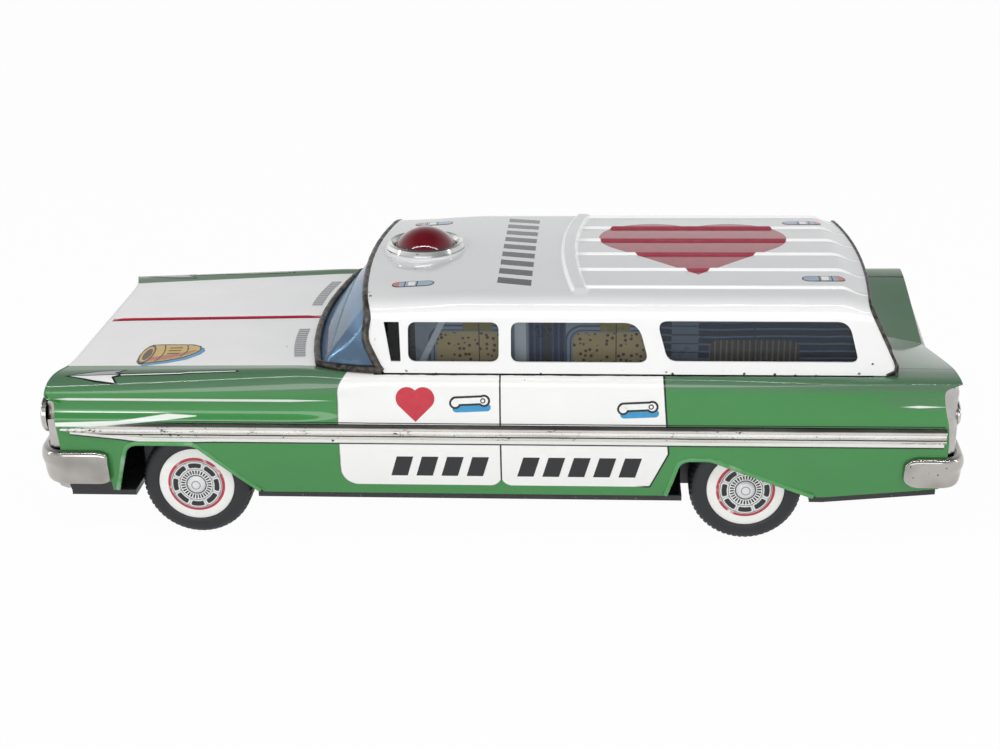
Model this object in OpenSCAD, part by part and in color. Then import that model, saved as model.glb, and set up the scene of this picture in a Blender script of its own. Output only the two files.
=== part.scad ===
// Toy ambulance: a pressed tinplate station wagon with a friction drive on its rear axle.
// The nose points to -X, the left side to -Y, and the wheels stand on z = 0.

/* [Body] */
// Length of the pressed body, from nose edge to tail edge
body_l = 252; // [240:1:264]
// Width across the body sides
body_w = 104; // [98:1:110]
// Height of the body sides, from sill to belt
body_h = 36; // [34:0.5:38]
// Thickness of the pressed sheet
sheet = 0.7; // [0.5:0.1:0.9]
// Length of the hood, from nose edge to the foot of the windscreen
hood_l = 70; // [64:1:76]
// Width of each fender top at the nose
fender_w = 14; // [12:1:16]
// How much wider the flat hood panel is at the windscreen
hood_flare = 10; // [6:1:12]
// Drop of the hood from belt height at the nose
hood_drop = 2.3; // [1.5:0.1:3]
// Drop of the tail deck's valley at the tail edge
deck_drop = 8.2; // [6:0.1:10]
// Length of the valley in the tail deck
deck_l = 34; // [30:1:38]
// Rise of the sill from the rear arch to the tail
sill_rise = 3; // [2:0.1:4]

/* [Cabin] */
// Length of the tail deck behind the roof
tail_deck_l = 15; // [12:1:20]
// Gap from the body side to the foot of the roof
cabin_inset = 4; // [3:0.5:6]
// Height of the roof above the belt
roof_h = 22.4; // [20:0.2:25]
// How far the windscreen's feet lie behind its middle
screen_wrap = 25; // [22:1:28]
// Lean of the back of the roof, run over rise
back_slope = 0.49; // [0.35:0.01:0.6]
// Height of the ribs on the roof
rib_h = 0.8; // [0.5:0.1:1.2]
// Width of the roof's rounded shoulders
shoulder_w = 10.3; // [9:0.1:12]
// Distance from the roof's front foot to the cross ridge
ridge_back = 53; // [45:1:60]
// Height of the window sills above the belt
window_up = 3.3; // [2.8:0.1:4]
// Height of the side windows
window_h = 11; // [9:0.2:12]
// Length of the front side window
front_window_l = 25.5; // [22:0.5:28]
// Length of the middle side window
middle_window_l = 35.5; // [32:0.5:38]
// Distance from the rear side window to the rear foot of the roof
rear_pillar_w = 14.8; // [12:0.2:18]
// Width of the upright window pillar
pillar_w = 3.4; // [2.5:0.1:4.5]
// Width of the slanted window pillar
slant_pillar_w = 6; // [5:0.1:7]

/* [Trim] */
// Height of the side strip
trim_h = 4.6; // [3.6:0.1:5.4]
// Thickness of the side strip
trim_d = 1.1; // [0.8:0.1:1.5]
// Height of the side strip's middle above the sill
trim_up = 19.8; // [18:0.1:21]
// Reach of the front bumper ahead of the body
nose_reach = 8.5; // [7:0.1:10]
// Reach of the rear bumper behind the body
tail_reach = 6.5; // [5.5:0.1:8]
// Height of the bumpers
bumper_h = 10.5; // [9:0.1:12]
// Thickness of the bumpers
bumper_d = 2; // [1.6:0.1:2.6]
// Length of the front bumper's wrapped ends
front_wrap = 23; // [18:1:28]
// Length of the rear bumper's wrapped ends
rear_wrap = 17; // [13:1:22]
// Radius of the headlamps
headlamp_r = 4.6; // [3.8:0.1:5]
// Outer radius of the beacon's ring
beacon_r = 11.9; // [10:0.1:13]
// Height of the beacon's dome above its ring
dome_h = 5.6; // [4:0.1:7]

/* [Running gear] */
// Radius of the tyres
wheel_r = 16; // [15:0.1:17]
// Width of the tyres
tyre_w = 10; // [8:0.1:11]
// Radius of the printed wheel discs
disc_r = 11; // [10:0.1:12]
// Gap from the body side to the wheel's outer face
wheel_inset = 2; // [1.6:0.1:3]
// Distance from the nose edge to the front axle
front_overhang = 39; // [36:1:42]
// Distance from the rear axle to the tail edge
rear_overhang = 55; // [50:1:60]
// Radius of the axles
axle_r = 1.2; // [1:0.05:1.5]
// Height of the axles above the base plate
axle_up = 2; // [1.8:0.1:2.6]
// Thickness of the base plate
base_t = 1.6; // [1:0.1:2]

/* [Friction motor] */
// Module of the gear teeth
tooth_m = 0.5; // [0.45:0.01:0.55]
// Teeth on the large gears
gear_teeth = 24; // [22:2:26]
// Teeth on the pinions
pinion_teeth = 8; // [8:1:9]
// Radius of the idler and flywheel shafts
shaft_r = 0.9; // [0.7:0.05:1]
// Width between the motor's side plates
motor_w = 16; // [14:0.5:18]
// Thickness of the motor's side plates
plate_t = 1; // [0.8:0.1:1.4]
// Radius of the flywheel
flywheel_r = 9; // [7.5:0.1:9.8]
// Width of the flywheel
flywheel_w = 9; // [7:0.5:12]

/* [Hidden] */
$fn = 64;
eps = 0.01;
// Clearances: a shaft in its bore, an axle in a hole it only passes through, fixed seats, and curved faces;
// then how far the hollow of a pressing passes its ends and its lower edge
run_gap = 0.05;
free_gap = 0.5;
seat_gap = 0.02;
face_gap = 0.2;
end_over = 4;
sill_over = 2;

half_w = body_w / 2;
cabin_w = body_w - 2 * cabin_inset;
hood_w = body_w - 2 * fender_w;
overall_l = nose_reach + body_l + tail_reach;
nose_x = nose_reach - overall_l / 2;
tail_x = nose_x + body_l;
axle_z = wheel_r;
sill_z = axle_z - axle_up;
belt_z = sill_z + body_h;
front_axle_x = nose_x + front_overhang;
rear_axle_x = tail_x - rear_overhang;
screen_x = nose_x + hood_l;
corner_sweep = 5;
cowl_x = screen_x + corner_sweep;
pillar_x = screen_x + screen_wrap;
roof_end_x = tail_x - tail_deck_l;
quarter_x = rear_axle_x - wheel_r - 4;
rise_x = rear_axle_x + 1.35 * wheel_r;
trim_z = sill_z + trim_up;
band_margin = 0.6;
deck_shelf_w = 7;
groove_y = cabin_w / 2 - deck_shelf_w;
// Width of the gears, and the places of the first and second gear pairs along the axles
gear_w = 3;
gear_y = -4.5;
second_y = 2.5;

// Section of the body in its door, hood and tail zones: offsets from the side plane and from the belt
crease_door = [-1.4, -3];
crease_hood = [-0.8, -6.4];
crease_tail = [0.2, -0.8];
under_door = [-1.2, -4.6];
under_hood = [-1.9, -8.2];
under_tail = [-0.9, -2.6];
cove_door = [-0.3, -9];
cove_hood = [-2.4, -11.5];
cove_tail = [-2.4, -8];
sill_tuck = 1.6;
hood_crown = 0.8;
bead_h = 0.5;
bead_w = 1.5;
bead_end = 5;
// Lean of the nose edge and of the tail edge: forward and rearward shifts at the section's key points
nose_lean = [2.5, 2.2, 1.7, -2.2, -0.4, -0.3, -0.2, 0.5, 0.8, 2];
tail_lean = [1.3, 2.2, 2.4, 2.6, -1.8, -1.5, 0, 0.4, 0.2, -1.2];
nose_blend = 12;
tail_blend = 10;

// Helpers: blends, curves and lofts
function mix(a, b, t) = a + (b - a) * t;
function unit(t) = min(1, max(0, t));
function ramp(x, a, b) = let (t = unit((x - a) / (b - a))) t * t * (3 - 2 * t);
function span(a, b, n) = [for (i = [0:n - 1]) mix(a, b, i / n)];
function line(a, b, n) = [for (i = [1:n]) mix(a, b, i / n)];
function curve(a, c, b, n) = [for (i = [1:n]) let (t = i / n) mix(mix(a, c, t), mix(c, b, t), t)];
function middle(ring) = [for (k = [0:2]) [for (p = ring) p[k]] * [for (p = ring) 1] / len(ring)];

// Joins a row of closed rings, each clockwise seen from the last ring's side, into one solid
module loft(rings) {
    n = len(rings);
    m = len(rings[0]);
    points = concat([for (r = rings) each r], [middle(rings[0]), middle(rings[n - 1])]);
    walls = [for (i = [0:n - 2], j = [0:m - 1])
        let (a = i * m + j, b = i * m + (j + 1) % m) each [[a, b, a + m], [b, b + m, a + m]]];
    first = [for (j = [0:m - 1]) [n * m, (j + 1) % m, j]];
    last = [for (j = [0:m - 1]) [n * m + 1, (n - 1) * m + j, (n - 1) * m + (j + 1) % m]];
    polyhedron(points, concat(walls, first, last), convexity = 10);
}

// Moves a half section inward by d along its own normals; each point starts with y and z
function inset(half, d) = [for (i = [0:len(half) - 1])
    let (a = half[max(0, i - 1)], b = half[min(len(half) - 1, i + 1)], t = [b[0] - a[0], b[1] - a[1]],
        s = d / norm(t), y = half[i][0] - s * -t[1], z = half[i][1] - s * t[0])
    concat([i == 0 ? 0 : y, i == len(half) - 1 ? half[i][1] : z],
        [for (k = [2:1:len(half[i]) - 1]) half[i][k]])];

// Section of the body: key points hold y, z, nose lean and tail lean
function sill_at(x) = sill_z + sill_rise * unit((x - rise_x) / (tail_x - rise_x));
function valley_at(x) = deck_drop * unit((x - tail_x + deck_l) / deck_l);
function zone(door, hood, tail, h, t) = [half_w, belt_z] + door + (hood - door) * h + (tail - door) * t;
function key(p, k) = [p[0], p[1], nose_lean[k], tail_lean[k]];
function body_keys(x) =
    let (h = 1 - ramp(x, cowl_x - 8, pillar_x),
        t = ramp(x, quarter_x, tail_x),
        run = unit((x - nose_x) / (cowl_x - nose_x)),
        edge_y = mix(cabin_w / 2, (hood_w + hood_flare * run) / 2, h),
        edge_z = belt_z - hood_drop * (1 - run) * h,
        mid_z = edge_z + hood_crown * (1 - run) * h - valley_at(x),
        panel = mix([groove_y, belt_z], [0.6 * edge_y, mix(mid_z, edge_z, 0.4)], h))
    [key([0, mid_z], 0), key(panel, 1), key([edge_y, edge_z], 2),
        key(zone(crease_door, crease_hood, crease_tail, h, t), 3),
        key(zone(under_door, under_hood, under_tail, h, t), 4),
        key(zone(cove_door, cove_hood, cove_tail, h, t), 5),
        key([half_w, trim_z + trim_h / 2 + band_margin], 6),
        key([half_w, trim_z - trim_h / 2 - band_margin], 7),
        key([half_w, mix(trim_z, sill_at(x), 0.6)], 8),
        key([half_w - sill_tuck, sill_at(x)], 9)];
function bead_at(x) =
    bead_h * min(ramp(x, nose_x, nose_x + bead_end), 1 - ramp(x, screen_x - bead_end, screen_x));
function body_half(x) =
    let (k = body_keys(x), shoulder = mix(k[2], k[3], 0.75) + [0, 0.6 * (k[2][1] - k[3][1]), 0, 0],
        crest = k[0] + [0, bead_at(x), 0, 0], foot = mix(k[0], k[1], bead_w / k[1][0]))
    concat([crest, mix(crest, foot, 0.55) + [0, 0.25 * bead_at(x), 0, 0], foot],
        line(foot, k[1], 2), line(k[1], k[2], 1), curve(k[2], shoulder, k[3], 5), [k[4]],
        curve(k[4], k[5], k[6], 5), [k[7]], curve(k[7], k[8], k[9], 4));
function body_x(x, p) = x + p[2] * (1 - ramp(x, nose_x, nose_x + nose_blend))
    + p[3] * ramp(x, tail_x - tail_blend, tail_x);
// Leaves out points of the side crease, which is too sharp for a face inside it to follow
crease_first = 6;
crease_tip = 9;
crease_last = 10;
function without_crease(half, first) =
    [for (i = [0:len(half) - 1]) if (i < first || i > crease_last) half[i]];
function body_ring(x, d = 0, dx = 0, dz = 0) =
    let (half = d == 0 ? body_half(x) : without_crease(inset(body_half(x), d), crease_tip), n = len(half),
        side = [for (i = [0:n - 1]) let (p = half[i])
            [body_x(x, p) + dx, p[0], p[1] - (i == n - 1 ? dz : 0)]])
    concat(side, [for (i = [n - 1:-1:1]) [side[i][0], -side[i][1], side[i][2]]]);
body_stations = concat(span(nose_x, nose_x + nose_blend, 4), span(nose_x + nose_blend, cowl_x - 8, 4),
    span(cowl_x - 8, pillar_x, 6), span(pillar_x, quarter_x, 3), span(quarter_x, rise_x, 5),
    span(rise_x, tail_x - tail_blend, 4), span(tail_x - tail_blend, tail_x, 4), [tail_x]);

// Outline of a wheel arch from its axle: steep leading edge, short top, long trailing slope
module arch(rise, top_end, trail) {
    lead = 1.18 * wheel_r;
    lead_run = 6.5;
    foot = axle_up + 4;
    below = 4;
    round_r = 3.5;
    offset(r = round_r)
        offset(delta = -round_r)
            polygon([[-lead - lead_run, -foot - below], [-lead, rise], [top_end, rise],
                [trail, -foot], [trail, -foot - below]]);
}
front_arch_rise = 13.7;
rear_arch_rise = 10.2;
front_arch_top = 1;
rear_arch_top = -10;
front_arch_trail = 24.5;
rear_arch_trail = 30;
arch_depth = 8;
lip_w = 0.9;
lip_d = 0.6;
lip_root = 1.5;
lip_up = 1;
module arch_outlines() {
    translate([front_axle_x, axle_z]) arch(front_arch_rise, front_arch_top, front_arch_trail);
    translate([rear_axle_x, axle_z]) arch(rear_arch_rise, rear_arch_top, rear_arch_trail);
}
module arches() {
    for (side = [-1, 1])
        translate([0, side * half_w + arch_depth, 0])
            rotate([90, 0, 0])
                linear_extrude(2 * arch_depth)
                    arch_outlines();
}
// Rolled lips that stand out round the arches and end a little above the sill
module arch_lips() {
    for (side = [-1, 1])
        translate([0, side > 0 ? half_w + lip_d : -half_w + lip_root, 0])
            rotate([90, 0, 0])
                linear_extrude(lip_root + lip_d)
                    intersection() {
                        offset(delta = lip_w) arch_outlines();
                        translate([nose_x, sill_z + lip_up]) square([body_l, body_h]);
                    }
}

// Opening in the top of the body under the roof, with a flange left for the roof to stand on
flange_w = 8;
opening_y = cabin_w / 2 - flange_w;
opening_front_x = cowl_x + 4;
opening_rear_x = roof_end_x - 14;
opening_h = 24;
module cabin_opening() {
    translate([opening_front_x, -opening_y, belt_z - opening_h / 2])
        cube([opening_rear_x - opening_front_x, 2 * opening_y, opening_h]);
}

module body_shell() {
    color("forestgreen")
        resize([0, 0, 0])
            difference() {
                union() {
                    loft([for (x = body_stations) body_ring(x)]);
                    arch_lips();
                }
                loft([for (i = [0:len(body_stations) - 1]) let (x = body_stations[i])
                    body_ring(x, sheet, i == 0 ? -end_over : x == tail_x ? end_over : 0, sill_over)]);
                arches();
                cabin_opening();
            }
}

// Section of the roof
roof_edge_y = cabin_w / 2 - shoulder_w;
rib_margin = 2.2;
rib_pitch = (roof_edge_y - rib_margin) / 2.5;
roof_crown = 1.1;
front_droop = 1.4;
rear_droop = 2;
side_h = window_up + window_h + 2;
side_lean = 0.213;
rib_foot = 1.7;
rib_top = 0.7;
ridge_bow = 3.6;
ridge_x = pillar_x + ridge_back - ridge_bow / 2;
ridge_w = 4.4;
roof_blend = 20;
droop_l = 24;
tail_droop_l = 14;
function side_y(z) = cabin_w / 2 - side_lean * (z - belt_z);
function front_edge(z) = pillar_x - lookup(z - belt_z, [[0, 0], [9, 4.5], [16, 6], [21, 7.6]]);
function back_edge(z) = roof_end_x - back_slope * max(0, z - belt_z - window_up);
function roof_z(x) = belt_z + roof_h - front_droop * (1 - ramp(x, pillar_x, pillar_x + droop_l))
    - rear_droop * pow(ramp(x, roof_end_x - tail_droop_l, roof_end_x), 2);
function ridge_at(x, y) =
    unit(2 * (1 - abs(x - ridge_x - ridge_bow * pow(y / roof_edge_y, 2)) / (ridge_w / 2)));
function roof_half(x, ribs) =
    let (z = roof_z(x), edge = [roof_edge_y, z - roof_crown], top = belt_z + side_h,
        relief = ribs ? rib_h : 0, along = ramp(x, ridge_x, ridge_x + ridge_w / 2),
        rib_ys = [for (k = [0:2], s = [-rib_foot, -rib_top, rib_top, rib_foot])
            [(k + 0.5) * rib_pitch + s, s]],
        crest = [for (r = concat([[0, rib_foot]], rib_ys))
            [r[0], z - roof_crown * pow(r[0] / roof_edge_y, 2)
                + relief * max(ridge_at(x, r[0]), abs(r[1]) < rib_foot ? along : 0)]])
    concat(ribs ? crest : [[0, z], [roof_edge_y / 2, z - roof_crown / 4]], [edge],
        curve(edge, [side_y(top) - 1.2, z - roof_crown - 0.6], [side_y(top), top], 5),
        line([side_y(top), top], [side_y(belt_z), belt_z], 2));
function roof_ring(x, d = 0, dx = 0, dz = 0, ribs = false) =
    let (half = d == 0 ? roof_half(x, ribs) : inset(roof_half(x, ribs), d), n = len(half),
        front = 1 - ramp(x, pillar_x, pillar_x + roof_blend),
        back = ramp(x, roof_end_x - roof_blend, roof_end_x),
        side = [for (i = [0:n - 1]) let (p = half[i])
            [x + dx + front * (front_edge(p[1]) - pillar_x) + back * (back_edge(p[1]) - roof_end_x),
                p[0] + (i == n - 1 ? side_lean * dz : 0), p[1] - (i == n - 1 ? dz : 0)]])
    concat(side, [for (i = [n - 1:-1:1]) [side[i][0], -side[i][1], side[i][2]]]);
roof_stations = concat(span(pillar_x, pillar_x + droop_l, 5),
    span(pillar_x + droop_l, ridge_x - ridge_w / 2, 2),
    span(ridge_x - ridge_w / 2, ridge_x + ridge_w / 2 + ridge_bow, 8),
    span(ridge_x + ridge_w / 2 + ridge_bow, roof_end_x - roof_blend, 2),
    span(roof_end_x - roof_blend, roof_end_x, 5), [roof_end_x]);

// Side windows, as outlines in the X-Z plane
window_z = belt_z + window_up;
vent_l = 6.8;
window_x = pillar_x + vent_l;
slant = 3;
corner_r = 2;
middle_window_x = window_x + front_window_l + pillar_w;
slant_x = middle_window_x + middle_window_l;
rear_window_x = slant_x + slant_pillar_w;
rear_window_l = roof_end_x - rear_pillar_w - rear_window_x;
module rounded(points) {
    offset(r = corner_r, $fn = 24) offset(delta = -corner_r) polygon(points);
}
module window_outlines() {
    top_z = window_z + window_h;
    rounded([[window_x, window_z], [window_x + front_window_l, window_z],
        [window_x + front_window_l, top_z], [window_x, top_z]]);
    rounded([[middle_window_x, window_z], [slant_x + slant, window_z],
        [slant_x, top_z], [middle_window_x, top_z]]);
    rounded([[rear_window_x + slant, window_z], [rear_window_x + rear_window_l + slant, window_z],
        [rear_window_x + rear_window_l, top_z], [rear_window_x, top_z]]);
    polygon([[window_x - 4.9, window_z], [window_x - 2.1, window_z], [window_x - 2.5, top_z],
        [window_x - vent_l, top_z]]);
}

// Round seat that is pressed flat into the roof under the beacon
beacon_x = pillar_x + 7.5;
beacon_z = belt_z + roof_h + 0.2;
module beacon_seat(z, r) {
    translate([beacon_x, 0, z]) cylinder(h = beacon_z - z, r = r);
}

module roof_shell() {
    color("whitesmoke")
        resize([0, 0, 0])
            difference() {
                union() {
                    loft([for (x = roof_stations) roof_ring(x, ribs = true)]);
                    beacon_seat(beacon_z - 2, beacon_r + 0.6);
                }
                loft([for (i = [0:len(roof_stations) - 1]) let (x = roof_stations[i])
                    roof_ring(x, sheet, i == 0 ? -end_over : x == roof_end_x ? end_over : 0, sill_over)]);
                translate([0, cabin_w, 0]) rotate([90, 0, 0]) linear_extrude(2 * cabin_w) window_outlines();
            }
}

// Windscreen: a ruled surface from its foot on the cowl to the front edge of the roof
screen_turn = 0.7;
frame_r = 0.7;
function screen_foot(t) =
    let (a = abs(t), s = (a - screen_turn) / (1 - screen_turn), y = (hood_w + hood_flare) / 2)
    a < screen_turn ? [mix(screen_x, cowl_x, pow(a / screen_turn, 2)), sign(t) * y * a / screen_turn, belt_z]
        : [mix(cowl_x, pillar_x, s), sign(t) * mix(y, cabin_w / 2, 1 - pow(1 - s, 2)), belt_z];
function screen_head(t) =
    let (a = abs(t), s = (a - screen_turn) / (1 - screen_turn), half = roof_half(pillar_x, false),
        n = len(half) - 1, u = a < screen_turn ? 2 * a / screen_turn : mix(2, n, s),
        i = min(n - 1, floor(u)), p = mix(half[i], half[i + 1], u - i))
    [front_edge(p[1]), sign(t) * p[0], p[1]];
// The screen's upper rear corners drop away from the roof, where its edge nears the roof's pillar
corner_drop = 3;
drop_start = 0.78;
screen_end = 0.93;
function screen_at(t, margin, from_head) =
    let (a = screen_foot(t), b = screen_head(t),
        drop = from_head ? corner_drop * ramp(abs(t), drop_start, screen_end) : 0,
        m = (margin + drop) / norm(b - a))
    mix(a, b, from_head ? 1 - m : m);
function screen_normal(t) =
    let (across = screen_foot(t + eps) - screen_foot(t - eps),
        c = cross(across, screen_head(t) - screen_foot(t)))
    c / norm(c);
frame_lift = frame_r + 2 * face_gap;
screen_steps = 30;
screen_ts = [for (i = [0:screen_steps]) screen_end * (2 * i / screen_steps - 1)];
pane_t = 0.7;
module windscreen() {
    back = frame_r + face_gap;
    color("lightskyblue", 0.5)
        loft([for (t = screen_ts)
            let (n = screen_normal(t),
                a = screen_at(t, frame_lift + frame_r, false) + back * n,
                b = screen_at(t, frame_lift, true) + back * n)
            [a, a + pane_t * n, b + pane_t * n, b]]);
}
module windscreen_frame() {
    lower = [for (t = screen_ts) screen_at(t, frame_lift, false)];
    upper = [for (i = [screen_steps:-1:0]) screen_at(screen_ts[i], frame_lift, true)];
    color("dimgray") closed_tube(concat(lower, upper), frame_r, 6);
}

// Tube of n sides along a closed path
module closed_tube(path, r, n) {
    count = len(path);
    rings = [for (i = [0:count - 1])
        let (d = path[(i + 1) % count] - path[(i + count - 1) % count], f = d / norm(d),
            side = cross(f, [1, 0, 0]) / norm(cross(f, [1, 0, 0])), up = cross(side, f))
        [for (k = [0:n - 1]) path[i] + r * (cos(360 * k / n) * side + sin(360 * k / n) * up)]];
    points = [for (ring = rings) each ring];
    faces = [for (i = [0:count - 1], j = [0:n - 1])
        let (next = (i + 1) % count, a = i * n + j, b = i * n + (j + 1) % n,
            c = next * n + j, d = next * n + (j + 1) % n)
        each [[a, b, c], [b, d, c]]];
    polyhedron(points, faces, convexity = 10);
}

// Rear window: a flat pane inside the sloping back of the roof, behind it a frame with a V-shaped foot
frame_t = 0.9;
frame_w = 2.6;
module rear_window() {
    color("lightskyblue", 0.5)
        loft([for (dx = [-pane_t - face_gap, -face_gap]) roof_ring(roof_end_x, sheet + face_gap, dx)]);
}
module rear_window_frame() {
    foot_y = side_y(belt_z) - 1;
    foot_cut = 20;
    color("dimgray")
        resize([0, 0, 0]) {
            difference() {
                loft([for (dx = [0, frame_t]) roof_ring(roof_end_x, 0, dx)]);
                loft([for (dx = [-1, frame_t + 1]) roof_ring(roof_end_x, frame_w, dx)]);
                translate([roof_end_x - foot_cut / 2, -half_w, belt_z - foot_cut])
                    cube([foot_cut, body_w, foot_cut + face_gap / 2]);
            }
            translate([roof_end_x, 0, belt_z + face_gap / 2])
                rotate([90, 0, 90])
                    linear_extrude(frame_t)
                        polygon([[-foot_y, 0], [-groove_y, 0], [0, -valley_at(roof_end_x)], [groove_y, 0],
                            [foot_y, 0], [foot_y, frame_w], [-foot_y, frame_w]]);
        }
}

// Clear strips and printed panels behind the side windows, both standing on the body's flange
glazing_front_x = pillar_x + 1;
glazing_rear_x = back_edge(belt_z + side_h) - 3;
module glazing(side) {
    top = belt_z + window_up + window_h + 0.6;
    out = sheet + face_gap;
    color("lightskyblue", 0.5)
        translate([glazing_front_x, 0, 0])
            rotate([90, 0, 90])
                linear_extrude(glazing_rear_x - glazing_front_x)
                    polygon([[side * (side_y(belt_z) - out), belt_z], [side * (side_y(top) - out), top],
                        [side * (side_y(top) - out - pane_t), top],
                        [side * (side_y(belt_z) - out - pane_t), belt_z]]);
}
module side_glazing_left() { glazing(-1); }
module side_glazing_right() { glazing(1); }
panel_t = 0.6;
panel_y = side_y(belt_z + side_h) - sheet - 2 * face_gap - pane_t - panel_t;
module interior_panel(side) {
    color("tan")
        translate([window_x - 1, 0, belt_z])
            rotate([90, 0, 90])
                linear_extrude(rear_window_x + rear_window_l - window_x)
                    polygon([for (p = [[opening_y, 0], [panel_y + panel_t, 0], [panel_y + panel_t, side_h],
                        [panel_y, side_h], [panel_y, panel_t], [opening_y, panel_t]]) [side * p[0], p[1]]]);
}
module interior_panel_left() { interior_panel(-1); }
module interior_panel_right() { interior_panel(1); }

// Base plate: a shallow tray, notched at the wheels, with flanges beside them that carry the front axle
wheel_y = half_w - wheel_inset;
flange_y = wheel_y - tyre_w - 1.5;
flange_h = wheel_r + 2;
notch_l = 2 * wheel_r + 4;
floor_z = sill_z - base_t + sheet;
base_half_w = half_w - sill_tuck - face_gap;
base_inset = 2;
motor_slot_l = gear_teeth * tooth_m + 3;
motor_slot_w = gear_w + 2;
module base_outline(d) {
    difference() {
        translate([nose_x + base_inset + d, -base_half_w + d])
            square([body_l - 2 * base_inset - 2 * d, 2 * (base_half_w - d)]);
        for (x = [front_axle_x, rear_axle_x], side = [-1, 1])
            translate([x - notch_l / 2 - d, side > 0 ? flange_y - d : -half_w - 1])
                square([notch_l + 2 * d, half_w + 1 - flange_y + d]);
    }
}
module base_profile() {
    polygon([[nose_x, -base_t], [rise_x, -base_t], [tail_x, sill_rise - base_t],
        [tail_x, sill_rise], [rise_x, 0], [nose_x, 0]]);
}
module base_slab(d, up) {
    intersection() {
        translate([0, 0, sill_z - base_t - 1])
            linear_extrude(base_t + sill_rise + 2 + 2 * up)
                base_outline(d);
        translate([0, half_w, sill_z + up]) rotate([90, 0, 0]) linear_extrude(body_w) base_profile();
    }
}
module base_plate() {
    color("black")
        difference() {
            union() {
                difference() {
                    base_slab(0, 0);
                    base_slab(sheet, sheet);
                }
                for (x = [front_axle_x, rear_axle_x], side = [-1, 1])
                    translate([x - notch_l / 2, side > 0 ? flange_y - sheet : -flange_y, floor_z - sheet])
                        cube([notch_l, sheet, flange_h]);
            }
            for (bore = [[front_axle_x, run_gap], [rear_axle_x, free_gap]])
                translate([bore[0], half_w, axle_z])
                    rotate([90, 0, 0])
                        cylinder(h = body_w, r = axle_r + bore[1]);
            translate([rear_axle_x - motor_slot_l / 2, gear_y - motor_slot_w / 2, floor_z - sheet - 1])
                cube([motor_slot_l, motor_slot_w, sheet + 2]);
        }
}

// Nose panel: a shallow dish in the front of the body, with lamp rims and bars
brow_z = belt_z - 7.9;
grille_face_x = nose_x - 3.6;
lamp_z = belt_z - 14.5;
lamp_ys = [half_w - 8.5, half_w - 8.5 - 2 * headlamp_r - 2.2];
lamp_seat = 0.4;
rim_w = 1;
bar_h = 1.2;
// Outline inside an end of the body
function end_outline(x, d) =
    let (kept = without_crease(inset(body_half(x), d), crease_first))
    concat([for (p = kept) [x, p[0], p[1]]],
        [for (i = [len(kept) - 1:-1:1]) [x, -kept[i][0], kept[i][1]]]);
// Shrinks a ring towards its middle by d at its edges, and lays it flat at x
function shrunk(ring, d, x, low, high) =
    let (mid = (low + high) / 2, k = 1 - 2 * d / (high - low))
    [for (p = ring) [x, p[1] * (1 - d / half_w), mid + (min(p[2], high) - mid) * k]];
function nose_ring(d, x) = shrunk(end_outline(nose_x, sheet + 2 * face_gap), d, x, sill_z, brow_z);
module on_nose(y, z) { translate([grille_face_x, y, z]) rotate([0, -90, 0]) children(); }
module grille() {
    bars_w = 2 * (lamp_ys[1] - headlamp_r - rim_w - 2);
    bars_z = sill_z + bumper_h + 4.5;
    bars_h = brow_z - bars_z - 3;
    color("silver")
        resize([0, 0, 0])
            difference() {
                union() {
                    loft([nose_ring(3.4, grille_face_x), nose_ring(1.6, grille_face_x + 0.6),
                        nose_ring(0.5, grille_face_x + 2), nose_ring(0, nose_x + 0.5),
                        nose_ring(0, nose_x + 3)]);
                    for (side = [-1, 1], y = lamp_ys)
                        on_nose(side * y, lamp_z) cylinder(h = 1.2, r = headlamp_r + rim_w, $fn = 32);
                    for (k = [0:4])
                        translate([grille_face_x - 0.7, -bars_w / 2, bars_z + k * (bars_h - bar_h) / 4])
                            cube([1.2, bars_w, bar_h]);
                }
                loft([nose_ring(4.4, grille_face_x + 1), nose_ring(1.4, nose_x), nose_ring(1.4, nose_x + 4)]);
                for (side = [-1, 1], y = lamp_ys)
                    on_nose(side * y, lamp_z)
                        translate([0, 0, lamp_seat])
                            cylinder(h = 2, r = headlamp_r, $fn = 32);
            }
}
module headlamps() {
    color("ivory")
        for (side = [-1, 1], y = lamp_ys)
            on_nose(side * y, lamp_z)
                translate([0, 0, lamp_seat])
                    rotate_extrude()
                        intersection() {
                            translate([0, 1.6 - 2.2 * headlamp_r]) circle(r = 2.2 * headlamp_r);
                            square([headlamp_r - face_gap, 2]);
                        }
}

// Bumpers: a bulged section swept round the end of the body and along its sides
bumper_y = half_w + face_gap;
front_corner_r = 7;
front_bow = 1.6;
rear_corner_r = 5;
rear_bow = 0.8;
function bumper_half(reach, wrap, r, bow) =
    let (corner_x = reach - bow - r, corner_y = bumper_y - r)
    concat([for (k = [0:3]) [mix(-wrap, corner_x - 1, k / 3), bumper_y]],
        [for (k = [0:5]) [corner_x, corner_y] + r * [sin(18 * k), cos(18 * k)]],
        [for (k = [1:4]) let (t = 1 - k / 4) [reach - bow * t * t, corner_y * t]]);
bumper_section = [[0, 0.5], [0.6, 0.46], [1, 0.25], [0.8, 0.02], [0.95, -0.3], [0.55, -0.47], [0, -0.5]];
function bumper_rings(half, z) =
    let (n = len(half),
        path = concat(half, [for (i = [n - 2:-1:0]) [half[i][0], -half[i][1]]]), last = len(path) - 1)
    [for (i = [0:last])
        let (a = path[max(0, i - 1)], b = path[min(last, i + 1)],
            d = (b - a) / norm(b - a), out = [-d[1], d[0]],
            near = min(i, last - i), taper = near == 0 ? 0.72 : near == 1 ? 0.94 : 1)
        [for (p = bumper_section) let (q = path[i] + out * p[0] * bumper_d * taper)
            [q[0], q[1], z + p[1] * bumper_h * taper]]];
front_bumper_up = 8;
rear_bumper_up = 8.8;
rear_bumper_h = 0.88;
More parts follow.
